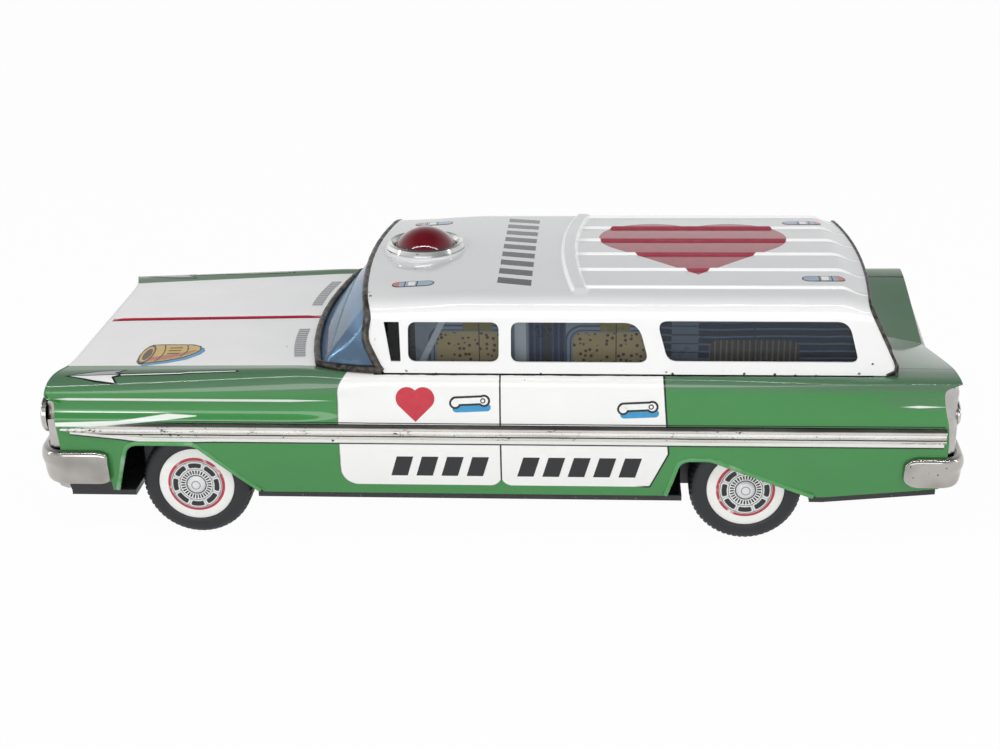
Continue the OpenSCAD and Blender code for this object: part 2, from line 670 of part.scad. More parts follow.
module front_bumper() {
    color("silver")
        translate([nose_x, 0, 0])
            mirror([1, 0, 0])
                loft(bumper_rings(
                    bumper_half(nose_reach - bumper_d, front_wrap - nose_reach, front_corner_r, front_bow),
                    sill_z + front_bumper_up));
}
module rear_bumper() {
    color("silver")
        translate([tail_x, 0, sill_z + rear_bumper_up])
            scale([1, 1, rear_bumper_h])
                loft(bumper_rings(
                    bumper_half(tail_reach - bumper_d, rear_wrap - tail_reach, rear_corner_r, rear_bow), 0));
}

// Tail panel: a shallow dish in the rear of the body under the fins
tail_reach_x = 3.2;
tail_face_x = tail_x + tail_reach_x;
tail_wall = 1.4;
tail_back = 4.6;
tail_lamp_y = half_w - 16;
tail_lamp_z = belt_z - 13;
tail_lamp = [2, 12, 4.5];
function tail_ring(d, x) = shrunk(end_outline(tail_x, sheet + face_gap), d, x, sill_at(tail_x), belt_z);
module rear_panel() {
    color("silver")
        resize([0, 0, 0])
            difference() {
                loft([tail_ring(0, tail_x - tail_back), tail_ring(0, tail_x - 1),
                    tail_ring(0.6, tail_x + 1.2), tail_ring(2, tail_face_x - 0.6),
                    tail_ring(4, tail_face_x)]);
                loft([tail_ring(tail_wall, tail_x - tail_back - tail_wall), tail_ring(tail_wall, tail_x),
                    tail_ring(4.8, tail_face_x - 1)]);
            }
}
module tail_lamps() {
    color("darkred")
        resize([0, 0, 0])
            for (side = [-1, 1])
                translate([tail_face_x, side * tail_lamp_y, tail_lamp_z])
                    intersection() {
                        rotate([side * 6, 0, 0]) scale(tail_lamp) sphere(r = 1, $fn = 18);
                        translate([0, -half_w, -body_h]) cube([body_h, body_w, 2 * body_h]);
                    }
}

// Side strips: a ribbed section with a spear point at the front
trim_front_x = nose_x + 1.4;
spear_l = 28;
trim_section = [[0, -1], [0.6, -0.94], [0.9, -0.7], [0.9, -0.24], [0.5, -0.1],
    [0.5, 0.12], [1, 0.34], [1, 0.7], [0.6, 0.95], [0, 1]];
module trim(side) {
    h = trim_h / 2;
    color("silver")
        intersection() {
            translate([trim_front_x, 0, trim_z])
                rotate([90, 0, 90])
                    linear_extrude(tail_x - trim_front_x - 0.6)
                        polygon([for (p = trim_section) [side * (half_w + p[0] * trim_d), p[1] * h]]);
            translate([trim_front_x, half_w + 5, trim_z])
                rotate([90, 0, 0])
                    linear_extrude(body_w + 10)
                        polygon([[0, -0.1 * h], [spear_l, -h - eps], [body_l, -h - eps],
                            [body_l, h + eps], [spear_l, h + eps], [0, 0.1 * h]]);
        }
}
module trim_left() { trim(-1); }
module trim_right() { trim(1); }

// Beacon: a rolled ring on the roof's round seat, with a dome inside it
dome_r = beacon_r - 2.4;
ring_h = 2;
module beacon_ring() {
    color("silver")
        translate([beacon_x, 0, beacon_z])
            rotate_extrude()
                polygon([[dome_r + seat_gap, 0], [beacon_r, 0], [beacon_r, 0.5],
                    [beacon_r - 0.5, ring_h * 0.8], [beacon_r - 1.1, ring_h], [beacon_r - 1.7, ring_h * 0.9],
                    [dome_r + seat_gap, 0.7]]);
}
module beacon_dome() {
    rise = ring_h * 0.3 + dome_h;
    ball = (dome_r * dome_r + rise * rise) / (2 * rise);
    color("darkred")
        translate([beacon_x, 0, beacon_z])
            rotate_extrude()
                difference() {
                    intersection() {
                        translate([0, rise - ball]) circle(r = ball, $fn = 128);
                        square([dome_r, rise]);
                    }
                    intersection() {
                        translate([0, rise - ball]) circle(r = ball - 1, $fn = 128);
                        translate([-eps, -eps]) square([dome_r, rise]);
                    }
                }
}

// Wheels: a tyre on a core with a domed face disc; side is -1 for the left and 1 for the right
core_r = disc_r - 1;
core_l = tyre_w - 0.5;
disc_t = 1;
boss_r = axle_r + 1.6;
module wheel_at(x, side) {
    translate([x, side * wheel_y, axle_z]) rotate([side * 90, 0, 0]) children();
}
// The wheel's own axis runs inward from its outer face at height 0
module tyre(x, side) {
    shoulder = 2.2;
    color("black")
        wheel_at(x, side)
            rotate_extrude()
                polygon(concat([[core_r + seat_gap, tyre_w], [core_r + seat_gap, disc_t],
                    [disc_r + seat_gap, disc_t], [disc_r + seat_gap, 0]],
                    curve([disc_r + 1.2, -0.3], [wheel_r - 0.3, 0], [wheel_r, shoulder], 6),
                    curve([wheel_r, tyre_w - shoulder], [wheel_r, tyre_w], [wheel_r - shoulder, tyre_w], 5)));
}
module hub(x, side) {
    color("white")
        wheel_at(x, side)
            rotate_extrude()
                polygon([[0, -1], [2.2, -0.9], [2.6, -0.3], [0.6 * disc_r, -0.6], [0.76 * disc_r, -0.1],
                    [disc_r, 0], [disc_r, disc_t - seat_gap], [core_r, disc_t - seat_gap],
                    [core_r, core_l], [core_r - 1, core_l], [core_r - 1, disc_t + 1], [boss_r, disc_t + 1],
                    [boss_r, core_l], [axle_r + seat_gap, core_l], [axle_r + seat_gap, disc_t], [0, disc_t]]);
}
axle_half_l = wheel_y - disc_t - seat_gap;
module axle(x) {
    color("silver")
        translate([x, axle_half_l, axle_z]) rotate([90, 0, 0]) cylinder(h = 2 * axle_half_l, r = axle_r);
}
module front_axle() { axle(front_axle_x); }
module rear_axle() { axle(rear_axle_x); }
module front_hub_left() { hub(front_axle_x, -1); }
module front_hub_right() { hub(front_axle_x, 1); }
module rear_hub_left() { hub(rear_axle_x, -1); }
module rear_hub_right() { hub(rear_axle_x, 1); }
module front_tyre_left() { tyre(front_axle_x, -1); }
module front_tyre_right() { tyre(front_axle_x, 1); }
module rear_tyre_left() { tyre(rear_axle_x, -1); }
module rear_tyre_right() { tyre(rear_axle_x, 1); }

// Friction motor: two gear stages from the rear axle to a flywheel, between two side plates
gear_gap = 0.1;
centre_d = (gear_teeth + pinion_teeth) * tooth_m / 2 + gear_gap;
idler_angle = 125;
flywheel_angle = 165;
function from(p, angle) = p + centre_d * [cos(angle), sin(angle)];
axle_p = [rear_axle_x, axle_z];
idler_p = from(axle_p, idler_angle);
flywheel_p = from(idler_p, flywheel_angle);
pressure = 20;
tooth_thin = 0.12;
gear_head = 0.75;
pinion_head = 0.85;
tooth_foot = 1.3;
function involute(base, r) = let (a = acos(min(1, base / r))) tan(a) * 180 / PI - a;
function tooth_half(teeth, r) =
    let (pitch = teeth * tooth_m / 2, base = pitch * cos(pressure))
    90 / teeth - tooth_thin / pitch * 90 / PI + involute(base, pitch) - involute(base, max(base, r));
function gear_points(teeth, head) =
    let (pitch = teeth * tooth_m / 2, base = pitch * cos(pressure), foot = pitch - tooth_foot * tooth_m,
        tip = pitch + head * tooth_m, low = max(base, foot),
        flank = [[foot, tooth_half(teeth, foot)],
            for (k = [0:3]) let (r = mix(low, tip, k / 3)) if (r > foot + eps) [r, tooth_half(teeth, r)]],
        n = len(flank))
    [for (i = [0:teeth - 1], j = [0:2 * n - 1])
        let (f = flank[j < n ? j : 2 * n - 1 - j], a = 360 * i / teeth + (j < n ? -1 : 1) * f[1])
        f[0] * [cos(a), sin(a)]];
module gear(p, y, w, teeth, head, turn, bore) {
    translate([p[0], y + w / 2, p[1]])
        rotate([90, 0, 0])
            difference() {
                linear_extrude(w) rotate(turn) polygon(gear_points(teeth, head));
                translate([0, 0, -1]) cylinder(h = w + 2, r = bore);
            }
}
module axle_gear() {
    color("goldenrod")
        gear(axle_p, gear_y, gear_w, gear_teeth, gear_head, idler_angle, axle_r + seat_gap);
}
module idler_pinion() {
    color("goldenrod")
        gear(idler_p, gear_y, gear_w + 1, pinion_teeth, pinion_head, idler_angle + 180 + 180 / pinion_teeth,
            shaft_r + seat_gap);
}
module idler_gear() {
    color("goldenrod")
        gear(idler_p, second_y, gear_w, gear_teeth, gear_head, flywheel_angle, shaft_r + seat_gap);
}
module flywheel_pinion() {
    color("goldenrod")
        gear(flywheel_p, second_y, gear_w + 1, pinion_teeth, pinion_head,
            flywheel_angle + 180 + 180 / pinion_teeth, shaft_r + seat_gap);
}
plate_out = motor_w / 2 + plate_t;
shaft_end = 0.4;
module shaft(p, y0, y1) {
    color("silver") translate([p[0], y1, p[1]]) rotate([90, 0, 0]) cylinder(h = y1 - y0, r = shaft_r);
}
module idler_shaft() { shaft(idler_p, -plate_out - shaft_end, plate_out + shaft_end); }
flywheel_y = plate_out + 1;
module flywheel_shaft() {
    shaft(flywheel_p, -plate_out - shaft_end, flywheel_y + flywheel_w + shaft_end);
}
module flywheel() {
    nave_r = 3;
    dish_d = 1.5;
    rim = 3;
    bevel = 0.5;
    color("gray")
        translate([flywheel_p[0], flywheel_y + flywheel_w, flywheel_p[1]])
            rotate([90, 0, 0])
                rotate_extrude()
                    polygon([[shaft_r + seat_gap, 0], [nave_r, 0], [nave_r, dish_d],
                        [flywheel_r - rim, dish_d], [flywheel_r - rim + bevel, 0],
                        [flywheel_r - bevel, 0], [flywheel_r, bevel],
                        [flywheel_r, flywheel_w - bevel], [flywheel_r - bevel, flywheel_w],
                        [shaft_r + seat_gap, flywheel_w]]);
}
pillar_r = 1.4;
plate_front_x = flywheel_p[0] - 6;
plate_rear_x = rear_axle_x + 9;
plate_top_z = flywheel_p[1] + 7;
pillar_ps = [[plate_front_x + 2.6, floor_z + 3], [plate_front_x + 5, plate_top_z - 2.6],
    [plate_rear_x - 2.6, axle_z + 5.5]];
module motor_plate(side) {
    color("silver")
        translate([0, side > 0 ? plate_out : -motor_w / 2, 0])
            rotate([90, 0, 0])
                difference() {
                    linear_extrude(plate_t)
                        polygon([[plate_front_x, floor_z], [plate_rear_x, floor_z],
                            [plate_rear_x, axle_z + 8], [idler_p[0] + 4, plate_top_z],
                            [plate_front_x + 2, plate_top_z],
                            [plate_front_x, plate_top_z - 3]]);
                    for (hole = [[axle_p, axle_r], [idler_p, shaft_r], [flywheel_p, shaft_r]])
                        translate([hole[0][0], hole[0][1], -1])
                            cylinder(h = plate_t + 2, r = hole[1] + run_gap);
                }
}
module motor_plate_left() { motor_plate(-1); }
module motor_plate_right() { motor_plate(1); }
module motor_pillars() {
    color("silver")
        for (p = pillar_ps)
            translate([p[0], motor_w / 2, p[1]]) rotate([90, 0, 0]) cylinder(h = motor_w, r = pillar_r);
}

body_shell();
roof_shell();
windscreen();
windscreen_frame();
rear_window();
rear_window_frame();
side_glazing_left();
side_glazing_right();
interior_panel_left();
interior_panel_right();
base_plate();
grille();
headlamps();
front_bumper();
rear_panel();
tail_lamps();
rear_bumper();
trim_left();
trim_right();
beacon_ring();
beacon_dome();
motor_plate_left();
motor_plate_right();
motor_pillars();
front_axle();
front_hub_left();
front_hub_right();
front_tyre_left();
front_tyre_right();
rear_axle();
rear_hub_left();
rear_hub_right();
rear_tyre_left();
rear_tyre_right();
axle_gear();
idler_shaft();
idler_pinion();
idler_gear();
flywheel_shaft();
flywheel_pinion();
flywheel();
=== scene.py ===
import math

import bmesh
import bpy
import numpy as np
from mathutils import Matrix, Vector
from mathutils.bvhtree import BVHTree


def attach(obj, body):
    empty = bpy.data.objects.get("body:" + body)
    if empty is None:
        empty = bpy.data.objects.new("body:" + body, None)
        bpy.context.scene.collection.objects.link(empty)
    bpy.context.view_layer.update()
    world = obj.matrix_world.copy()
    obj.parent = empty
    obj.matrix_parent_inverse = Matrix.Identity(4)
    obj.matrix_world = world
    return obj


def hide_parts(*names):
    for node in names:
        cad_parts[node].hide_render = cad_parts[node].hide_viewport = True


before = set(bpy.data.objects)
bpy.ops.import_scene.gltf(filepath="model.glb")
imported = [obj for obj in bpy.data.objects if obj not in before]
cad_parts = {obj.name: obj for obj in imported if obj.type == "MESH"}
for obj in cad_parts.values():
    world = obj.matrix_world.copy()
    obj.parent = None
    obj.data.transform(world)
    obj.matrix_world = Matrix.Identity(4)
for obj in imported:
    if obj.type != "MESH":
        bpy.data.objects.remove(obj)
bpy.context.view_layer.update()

# Sizes in millimetres, the same as in the part's source. The nose points to -X, and the left side to -Y.
MM = 0.001
SIDES = (-1, 1)
NAMED_SIDES = (("left", -1), ("right", 1))
HALF_W, NOSE_X, TAIL_X, SILL_Z, BELT_Z = 52.0, -125.0, 127.0, 14.0, 50.0
CABIN_Y, HOOD_W, HOOD_FLARE, HOOD_DROP, HOOD_CROWN = 48.0, 76.0, 10.0, 2.3, 0.8
SCREEN_X, COWL_X, PILLAR_X, QUARTER_X, RISE_X, ROOF_END_X = -55.0, -50.0, -30.0, 52.0, 93.6, 112.0
DECK_DROP, DECK_L, SILL_RISE, GROOVE_Y = 8.2, 34.0, 3.0, 41.0
TRIM_Z, TRIM_H, BAND = 33.8, 4.6, 0.6
AXLES_X, AXLE_Z, WHEEL_Y = {"front": -86.0, "rear": 72.0}, 16.0, 50.0
ROOF_H, ROOF_CROWN, ROOF_EDGE_Y, SIDE_LEAN, SHOULDER_H = 22.4, 1.1, 37.7, 0.213, 16.3
WINDOW_Z, WINDOW_H = 53.3, 11.0
BEACON_X, BEACON_Z = -22.5, 72.6
GRILLE_X, LAMP_Z, LAMP_YS, LAMP_R = -128.6, 35.5, (43.5, 32.1), 4.6
TAIL_FACE_X, TAIL_LAMP_Y, TAIL_LAMP_Z, TAIL_LAMP_SIZE = 130.2, 36.0, 37.0, (12.0, 4.5)
TAIL_RIBS, TAIL_RIB_Y = (36.6, 33.3, 30.0), 20.5


def mix(a, b, t):
    return a + (b - a) * t


def unit(t):
    return min(1.0, max(0.0, t))


def ramp(x, a, b):
    """Smooth step from 0 at a to 1 at b."""
    t = unit((x - a) / (b - a))
    return t * t * (3 - 2 * t)


def line(a, b, n):
    return [mix(a, b, i / n) for i in range(1, n + 1)]


def curve(a, c, b, n):
    """Points of a curve from a to b that bends towards c, without the first."""
    return [mix(mix(a, c, t), mix(c, b, t), t) for t in (i / n for i in range(1, n + 1))]


# Meshes

def new_object(name, verts, faces, material, body="car", slot=None, angle=40, replaces=(), lining=None,
               closed=True):
    """A smooth piece that rides on a body; with no body it is a cutter."""
    mesh = bpy.data.meshes.new(name)
    mesh.from_pydata([tuple(float(c) * MM for c in v) for v in verts], [], faces)
    if closed:
        bm = bmesh.new()
        bm.from_mesh(mesh)
        bmesh.ops.recalc_face_normals(bm, faces=bm.faces)
        bm.to_mesh(mesh)
        bm.free()
    obj = bpy.data.objects.new(name, mesh)
    bpy.context.scene.collection.objects.link(obj)
    for m in (material, lining):
        if m:
            mesh.materials.append(m)
    mesh.shade_smooth()
    mesh.set_sharp_from_angle(angle=math.radians(angle))
    if body:
        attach(obj, body)
        if replaces:
            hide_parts(*replaces)
    return obj


def cut(obj, *cutters, angle=38):
    """Takes the cutters out of a piece, and removes them."""
    for cutter in cutters:
        mod = obj.modifiers.new("cut", "BOOLEAN")
        mod.operation, mod.solver, mod.object = "DIFFERENCE", "MANIFOLD", cutter
    bpy.context.view_layer.update()
    made = bpy.data.meshes.new_from_object(obj.evaluated_get(bpy.context.evaluated_depsgraph_get()))
    obj.modifiers.clear()
    obj.data, old = made, obj.data
    bpy.data.meshes.remove(old)
    for cutter in cutters:
        bpy.data.objects.remove(cutter)
    obj.data.set_sharp_from_angle(angle=math.radians(angle))


def grid_faces(rows, cols, wrap_rows=False, wrap_cols=False, offset=0):
    out = []
    for i in range(rows if wrap_rows else rows - 1):
        for j in range(cols if wrap_cols else cols - 1):
            a, b = offset + i * cols + j, offset + i * cols + (j + 1) % cols
            c, d = offset + (i + 1) % rows * cols + j, offset + (i + 1) % rows * cols + (j + 1) % cols
            out.append((a, b, d, c))
    return out


def grid_normals(grid):
    n = np.cross(np.gradient(grid, axis=0), np.gradient(grid, axis=1))
    return n / np.maximum(np.linalg.norm(n, axis=2, keepdims=True), 1e-9)


def shell(grid, thickness):
    """Closed sheet: the grid, the same grid moved inward, and a rim between them."""
    rows, cols = grid.shape[:2]
    n = rows * cols
    inner = grid - grid_normals(grid) * thickness
    faces = grid_faces(rows, cols) + grid_faces(rows, cols, offset=n)
    index = np.arange(n).reshape(rows, cols)
    rim = np.concatenate([index[0], index[1:, -1], index[-1, -2::-1], index[-2:0:-1, 0]]).tolist()
    faces += [(b, a, a + n, b + n) for a, b in zip(rim, rim[1:] + rim[:1])]
    return np.concatenate([grid.reshape(-1, 3), inner.reshape(-1, 3)]), faces


def line_inside(obj, grid):
    """Gives the second half of a shell's faces, its inner side, the lining."""
    n = (grid.shape[0] - 1) * (grid.shape[1] - 1)
    for face in obj.data.polygons[n:2 * n]:
        face.material_index = 1


def surface_tree(grid):
    return BVHTree.FromPolygons([Vector(p) for p in grid.reshape(-1, 3)], grid_faces(*grid.shape[:2]))


def prism(name, outline, y0, y1, material=None, body=None, slot=None):
    """Closed solid from an outline in the X-Z plane."""
    n = len(outline)
    verts = [(x, y, z) for y in (y0, y1) for x, z in outline]
    faces = [(i, (i + 1) % n, n + (i + 1) % n, n + i) for i in range(n)]
    faces += [tuple(range(n - 1, -1, -1)), tuple(range(n, 2 * n))]
    return new_object(name, verts, faces, material, body, slot)


def rounded(points, radii, steps=10):
    """Closed outline with rounded corners."""
    out, n = [], len(points)
    radii = radii if isinstance(radii, (list, tuple)) else [radii] * n
    for i, r in enumerate(radii):
        p, a, b = (np.array(points[k % n], float) for k in (i, i - 1, i + 1))
        if r < 1e-3:
            out.append(p)
            continue
        u, v = (a - p) / np.linalg.norm(a - p), (b - p) / np.linalg.norm(b - p)
        t = r / math.tan(math.acos(max(-1, min(1, float(u @ v)))) / 2)
        out += [mix(mix(p + u * t, p, s), mix(p, p + v * t, s), s) for s in np.linspace(0, 1, steps)]
    return [tuple(p) for p in out]


def lengths_along(path):
    return np.concatenate([[0], np.cumsum(np.linalg.norm(np.diff(path, axis=0), axis=1))])


def resampled(outline, step):
    pts = np.array(list(outline) + [outline[0]])
    length = lengths_along(pts)
    s = np.linspace(0, length[-1], int(length[-1] / step), endpoint=False)
    return np.stack([np.interp(s, length, pts[:, k]) for k in range(2)], 1)


def tube(path, radii, sides, closed):
    """Verts and faces of a tube along a path; radii may change along it."""
    path = np.array(path, float)
    d = np.roll(path, -1, 0) - np.roll(path, 1, 0) if closed else np.gradient(path, axis=0)
    d /= np.linalg.norm(d, axis=1, keepdims=True)
    ref = np.where(np.abs(d[:, :1]) < 0.95, [[1.0, 0, 0]], [[0, 0, 1.0]])
    side = np.cross(d, ref)
    for i in range(1, len(side)):
        if side[i] @ side[i - 1] < 0:
            side[i] = -side[i]
    side /= np.linalg.norm(side, axis=1, keepdims=True)
    up = np.cross(side, d)
    a = np.linspace(0, 2 * math.pi, sides, endpoint=False)
    ring = np.cos(a)[None, :, None] * side[:, None] + np.sin(a)[None, :, None] * up[:, None]
    verts = (path[:, None] + ring * np.broadcast_to(radii, len(path))[:, None, None]).reshape(-1, 3)
    faces = grid_faces(len(path), sides, wrap_rows=closed, wrap_cols=True)
    if not closed:
        faces += [tuple(range(sides)), tuple(range(len(verts) - sides, len(verts)))]
    return verts, faces


def tubes(name, paths, material, slot="plated", angle=70, sides=12, replaces=()):
    """One piece from several tubes; each has its path, its radii, and whether it is closed."""
    verts, faces = [], []
    for path, radii, closed in paths:
        v, f = tube(path, radii, sides, closed)
        faces += [tuple(i + len(verts) for i in face) for face in f]
        verts += list(v)
    new_object(name, verts, faces, material, slot=slot, angle=angle, replaces=replaces)


def oval(x, y, z, a, b, tilt=0.0, n=64):
    """Points of an oval in the Y-Z plane."""
    turn = np.linspace(0, 2 * math.pi, n, endpoint=False)
    u, v = a * np.cos(turn), b * np.sin(turn)
    c, s = math.cos(tilt), math.sin(tilt)
    return np.stack([np.full(n, x), y + u * c - v * s, z + u * s + v * c], 1)


def revolve(profile, segments, place, shape=None):
    """Verts and faces of a closed profile of (radius, depth) turned about an axis."""
    prof = np.array(profile, float)
    a = np.linspace(0, 2 * math.pi, segments, endpoint=False)[:, None]
    r, h = (np.repeat(prof[None, :, k], segments, 0) for k in range(2))
    if shape is not None:
        r = shape(r, h, a)
    verts = place(r * np.cos(a), h, r * np.sin(a))
    return verts.reshape(-1, 3), grid_faces(segments, len(prof), wrap_rows=True, wrap_cols=True)


# Body pressing

def body_keys(x):
    """Key points of the half section at x, each with the shifts of the nose and tail edges."""
    h = 1 - ramp(x, COWL_X - 8, PILLAR_X)
    t = ramp(x, QUARTER_X, TAIL_X)
    run = unit((x - NOSE_X) / (COWL_X - NOSE_X))
    edge_y = mix(CABIN_Y, (HOOD_W + HOOD_FLARE * run) / 2, h)
    edge_z = BELT_Z - HOOD_DROP * (1 - run) * h
    mid_z = edge_z + HOOD_CROWN * (1 - run) * h - DECK_DROP * unit((x - TAIL_X + DECK_L) / DECK_L)
    sill = SILL_Z + SILL_RISE * unit((x - RISE_X) / (TAIL_X - RISE_X))

    def zone(door, hood, tail):
        door, hood, tail = (np.array(v) for v in (door, hood, tail))
        return np.array([HALF_W, BELT_Z]) + door + (hood - door) * h + (tail - door) * t

    keys = [np.array([0, mid_z]),
            mix(np.array([GROOVE_Y, BELT_Z]), np.array([0.6 * edge_y, mix(mid_z, edge_z, 0.4)]), h),
            np.array([edge_y, edge_z]),
            zone((-1.4, -3), (-0.8, -6.4), (0.2, -0.8)),
            zone((-1.2, -4.6), (-1.9, -8.2), (-0.9, -2.6)),
            zone((-0.3, -9), (-2.4, -11.5), (-2.4, -8)),
            np.array([HALF_W, TRIM_Z + TRIM_H / 2 + BAND]),
            np.array([HALF_W, TRIM_Z - TRIM_H / 2 - BAND]),
            np.array([HALF_W, mix(TRIM_Z, sill, 0.6)]),
            np.array([HALF_W - 1.6, sill])]
    nose = (2.5, 2.2, 1.7, -2.2, -0.4, -0.3, -0.2, 0.5, 0.8, 2)
    tail = (1.3, 2.2, 2.4, 2.6, -1.8, -1.5, 0, 0.4, 0.2, -1.2)
    return [np.array([*k, nose[i], tail[i]]) for i, k in enumerate(keys)]


def body_half(x):
    """Half section from the middle to the sill: y, z, and the shifts of the nose and tail edges."""
    k = body_keys(x)
    up = np.array([0, 1.0, 0, 0])
    full = 1 - ramp(x, COWL_X - 8, PILLAR_X)
    shoulder = mix(k[2], k[3], mix(0.75, 0.82, full)) + mix(0.6, 1.35, full) * (k[2][1] - k[3][1]) * up
    bead = 0.5 * min(ramp(x, NOSE_X, NOSE_X + 5), 1 - ramp(x, SCREEN_X - 5, SCREEN_X))
    foot = mix(k[0], k[1], 1.5 / k[1][0])
    pts = [mix(k[0], foot, u) + bead * (0.5 + 0.5 * math.cos(math.pi * u)) * up for u in np.linspace(0, 1, 6)]
    pts += line(foot, k[1], 5) + line(k[1], k[2], 4) + curve(k[2], shoulder, k[3], 14) + line(k[3], k[4], 3)
    pts += curve(k[4], k[5], k[6], 14) + line(k[6], k[7], 3) + curve(k[7], k[8], k[9], 12)
    pts = np.array(pts)
    for _ in range(3):
        pts[7:-1] += 0.25 * (pts[6:-2] + pts[8:] - 2 * pts[7:-1])
    return pts


def both_sides(right):
    return np.concatenate([right[:0:-1] * np.array([1, -1, 1]), right])


def body_row(x):
    half = body_half(x)
    px = x + half[:, 2] * (1 - ramp(x, NOSE_X, NOSE_X + 12)) + half[:, 3] * ramp(x, TAIL_X - 10, TAIL_X)
    return both_sides(np.stack([px, half[:, 0], half[:, 1]], 1))


def side_at(x, z):
    """Distance of the body's side from the middle plane at a height below its crease."""
    low = body_half(x)[-30:][::-1]
    return float(np.interp(z, low[:, 1], low[:, 0]))


def arch_outline(axle_x, rise, top_end, trail):
    pts = [(-25.38, -10), (-18.88, rise), (top_end, rise), (trail, -6), (trail, -10)]
    return [(x + axle_x, z + AXLE_Z) for x, z in rounded(pts, [0, 4.2, 6, 0, 0], 14)]


ARCHES = [arch_outline(AXLES_X["front"], 13.7, 1, 24.5), arch_outline(AXLES_X["rear"], 10.2, -10, 30)]
FLARE = 0.7


def flare_at(z):
    """How far the body stands out round an arch; it ends below the side strip."""
    return FLARE * np.clip((31.8 - z) / 2.5, 0, 1)


def body_grid():
    xs = np.concatenate([np.arange(NOSE_X, -113, 0.8), np.arange(-113, TAIL_X - 12, 1.5),
                         np.arange(TAIL_X - 12, TAIL_X, 0.8), [TAIL_X]])
    grid = np.stack([body_row(x) for x in xs])
    edge = np.concatenate([resampled(a, 0.8) for a in ARCHES])
    low = grid[..., 2] < 37
    pts = grid[low]
    d = np.sqrt(((pts[:, None, [0, 2]] - edge[None]) ** 2).sum(2)).min(1)
    foot = np.clip((pts[:, 2] - SILL_Z) / 3, 0, 1)
    pts[:, 1] += np.sign(pts[:, 1]) * np.exp(-(d / 2.0) ** 2) * foot * flare_at(pts[:, 2])
    grid[low] = pts
    return grid


def arch_lips(material):
    """Rolled edge of each wheel arch."""
    paths = []
    for outline in ARCHES:
        path = [p for p in resampled(outline, 0.9) if p[1] > SILL_Z + 0.4]
        start = int(np.argmax(np.linalg.norm(np.diff(np.array(path + path[:1]), axis=0), axis=1))) + 1
        path = path[start:] + path[:start]
        for side in SIDES:
            paths.append(([(x, side * (side_at(x, z) + flare_at(z) - 0.25), z) for x, z in path], 0.7, False))
    tubes("arch_lips", paths, material, "body_print", 80, 10)


# Roof pressing

def side_y(z):
    return CABIN_Y - SIDE_LEAN * (z - BELT_Z)


def front_edge(z):
    return PILLAR_X - float(np.interp(z - BELT_Z, [0, 9, 16, 21], [0, 4.5, 6, 7.6]))


def front_bow(y, z):
    """How far the front edge's corners lie behind its middle."""
    return 2.4 * ramp(z, 60, 70) * (y / 40) ** 2


def back_edge(z):
    up = z - BELT_Z
    corner = 2.6 - math.sqrt(max(0.0, 2.6 ** 2 - (2.6 - min(up, 2.6)) ** 2))
    return ROOF_END_X - 0.49 * max(0.0, up - 3.3) - corner


def back_bow(y, z):
    """How far the rear edge's middle lies behind its corners."""
    return 3.6 * ramp(z, 64, 70) * (1 - (y / 44) ** 2)


def roof_top(x):
    front, back = 1 - ramp(x, PILLAR_X, PILLAR_X + 24), ramp(x, ROOF_END_X - 14, ROOF_END_X)
    return BELT_Z + ROOF_H - 1.4 * front - 2 * back ** 2


def relief(x, y):
    """Height of the roof's cross ridge and long ribs."""
    bow = 21.2 + 3.6 * (y / ROOF_EDGE_Y) ** 2
    ridge = 1 - ramp(abs(x - bow), 1.5, 2.3)
    rib = 0.8 * max(1 - ramp(abs(abs(y) - r), 0.15, 0.95) for r in (7.1, 21.3, 35.5))
    rib *= ramp(x, bow, bow + 2.2) * (1 - ramp(x, ROOF_END_X - 9, ROOF_END_X - 1))
    edge = 1 - ramp(abs(y), ROOF_EDGE_Y - 0.5, ROOF_EDGE_Y + 2.5)
    return 0.9 * max(ridge * edge, rib)


def roof_half(x, ribs=True):
    """Half section from the middle to the belt: y, z."""
    z = roof_top(x)
    top = BELT_Z + SHOULDER_H
    edge, shoulder = np.array([ROOF_EDGE_Y, z - ROOF_CROWN]), np.array([side_y(top), top])
    ys = np.concatenate([np.arange(0, ROOF_EDGE_Y, 0.25), [ROOF_EDGE_Y]])
    pts = [np.array([y, z - ROOF_CROWN * (y / ROOF_EDGE_Y) ** 2]) for y in ys]
    n = len(pts)
    pts += curve(edge, np.array([side_y(top) - 1.2, z - ROOF_CROWN - 0.6]), shoulder, 16)
    pts += line(shoulder, np.array([side_y(BELT_Z), BELT_Z]), 12)
    pts = np.array(pts)
    for _ in range(4):
        pts[n - 8:-1] += 0.25 * (pts[n - 9:-2] + pts[n - 7:] - 2 * pts[n - 8:-1])
    if ribs:
        for p in pts[:n + 6]:
            p[1] += relief(x, p[0])
    return pts


def roof_row(x):
    front = 1 - ramp(x, PILLAR_X, PILLAR_X + 20)
    back = ramp(x, ROOF_END_X - 20, ROOF_END_X)
    half = roof_half(x)
    px = [x + front * (front_edge(z) + front_bow(y, z) - PILLAR_X)
          + back * (back_edge(z) - ROOF_END_X + back_bow(y, z)) for y, z in half]
    right = np.stack([px, half[:, 0], half[:, 1]], 1)
    right[-1, 2] += 0.2
    return both_sides(right)


def window_outlines():
    z0, z1 = WINDOW_Z, WINDOW_Z + WINDOW_H
    return [rounded([(-23.2, z0), (2.3, z0), (2.3, z1), (-23.2, z1)], 2.4),
            rounded([(5.7, z0), (44.2, z0), (41.2, z1), (5.7, z1)], [2.4, 2.2, 5.5, 2.4]),
            rounded([(49.4, z0 + 0.4), (101.9, z0 + 0.4), (99, z1 + 0.5), (46.3, z1 + 0.5)],
                    [3.5, 1.6, 4.5, 2.4]),
            rounded([(-28.1, z0), (-25.3, z0), (-25.7, z1), (-30, z1)], 0.3, 4)]


# Windscreen: t runs from -1 at the left pillar to 1 at the right, and the pane's bends are at CORNER_T

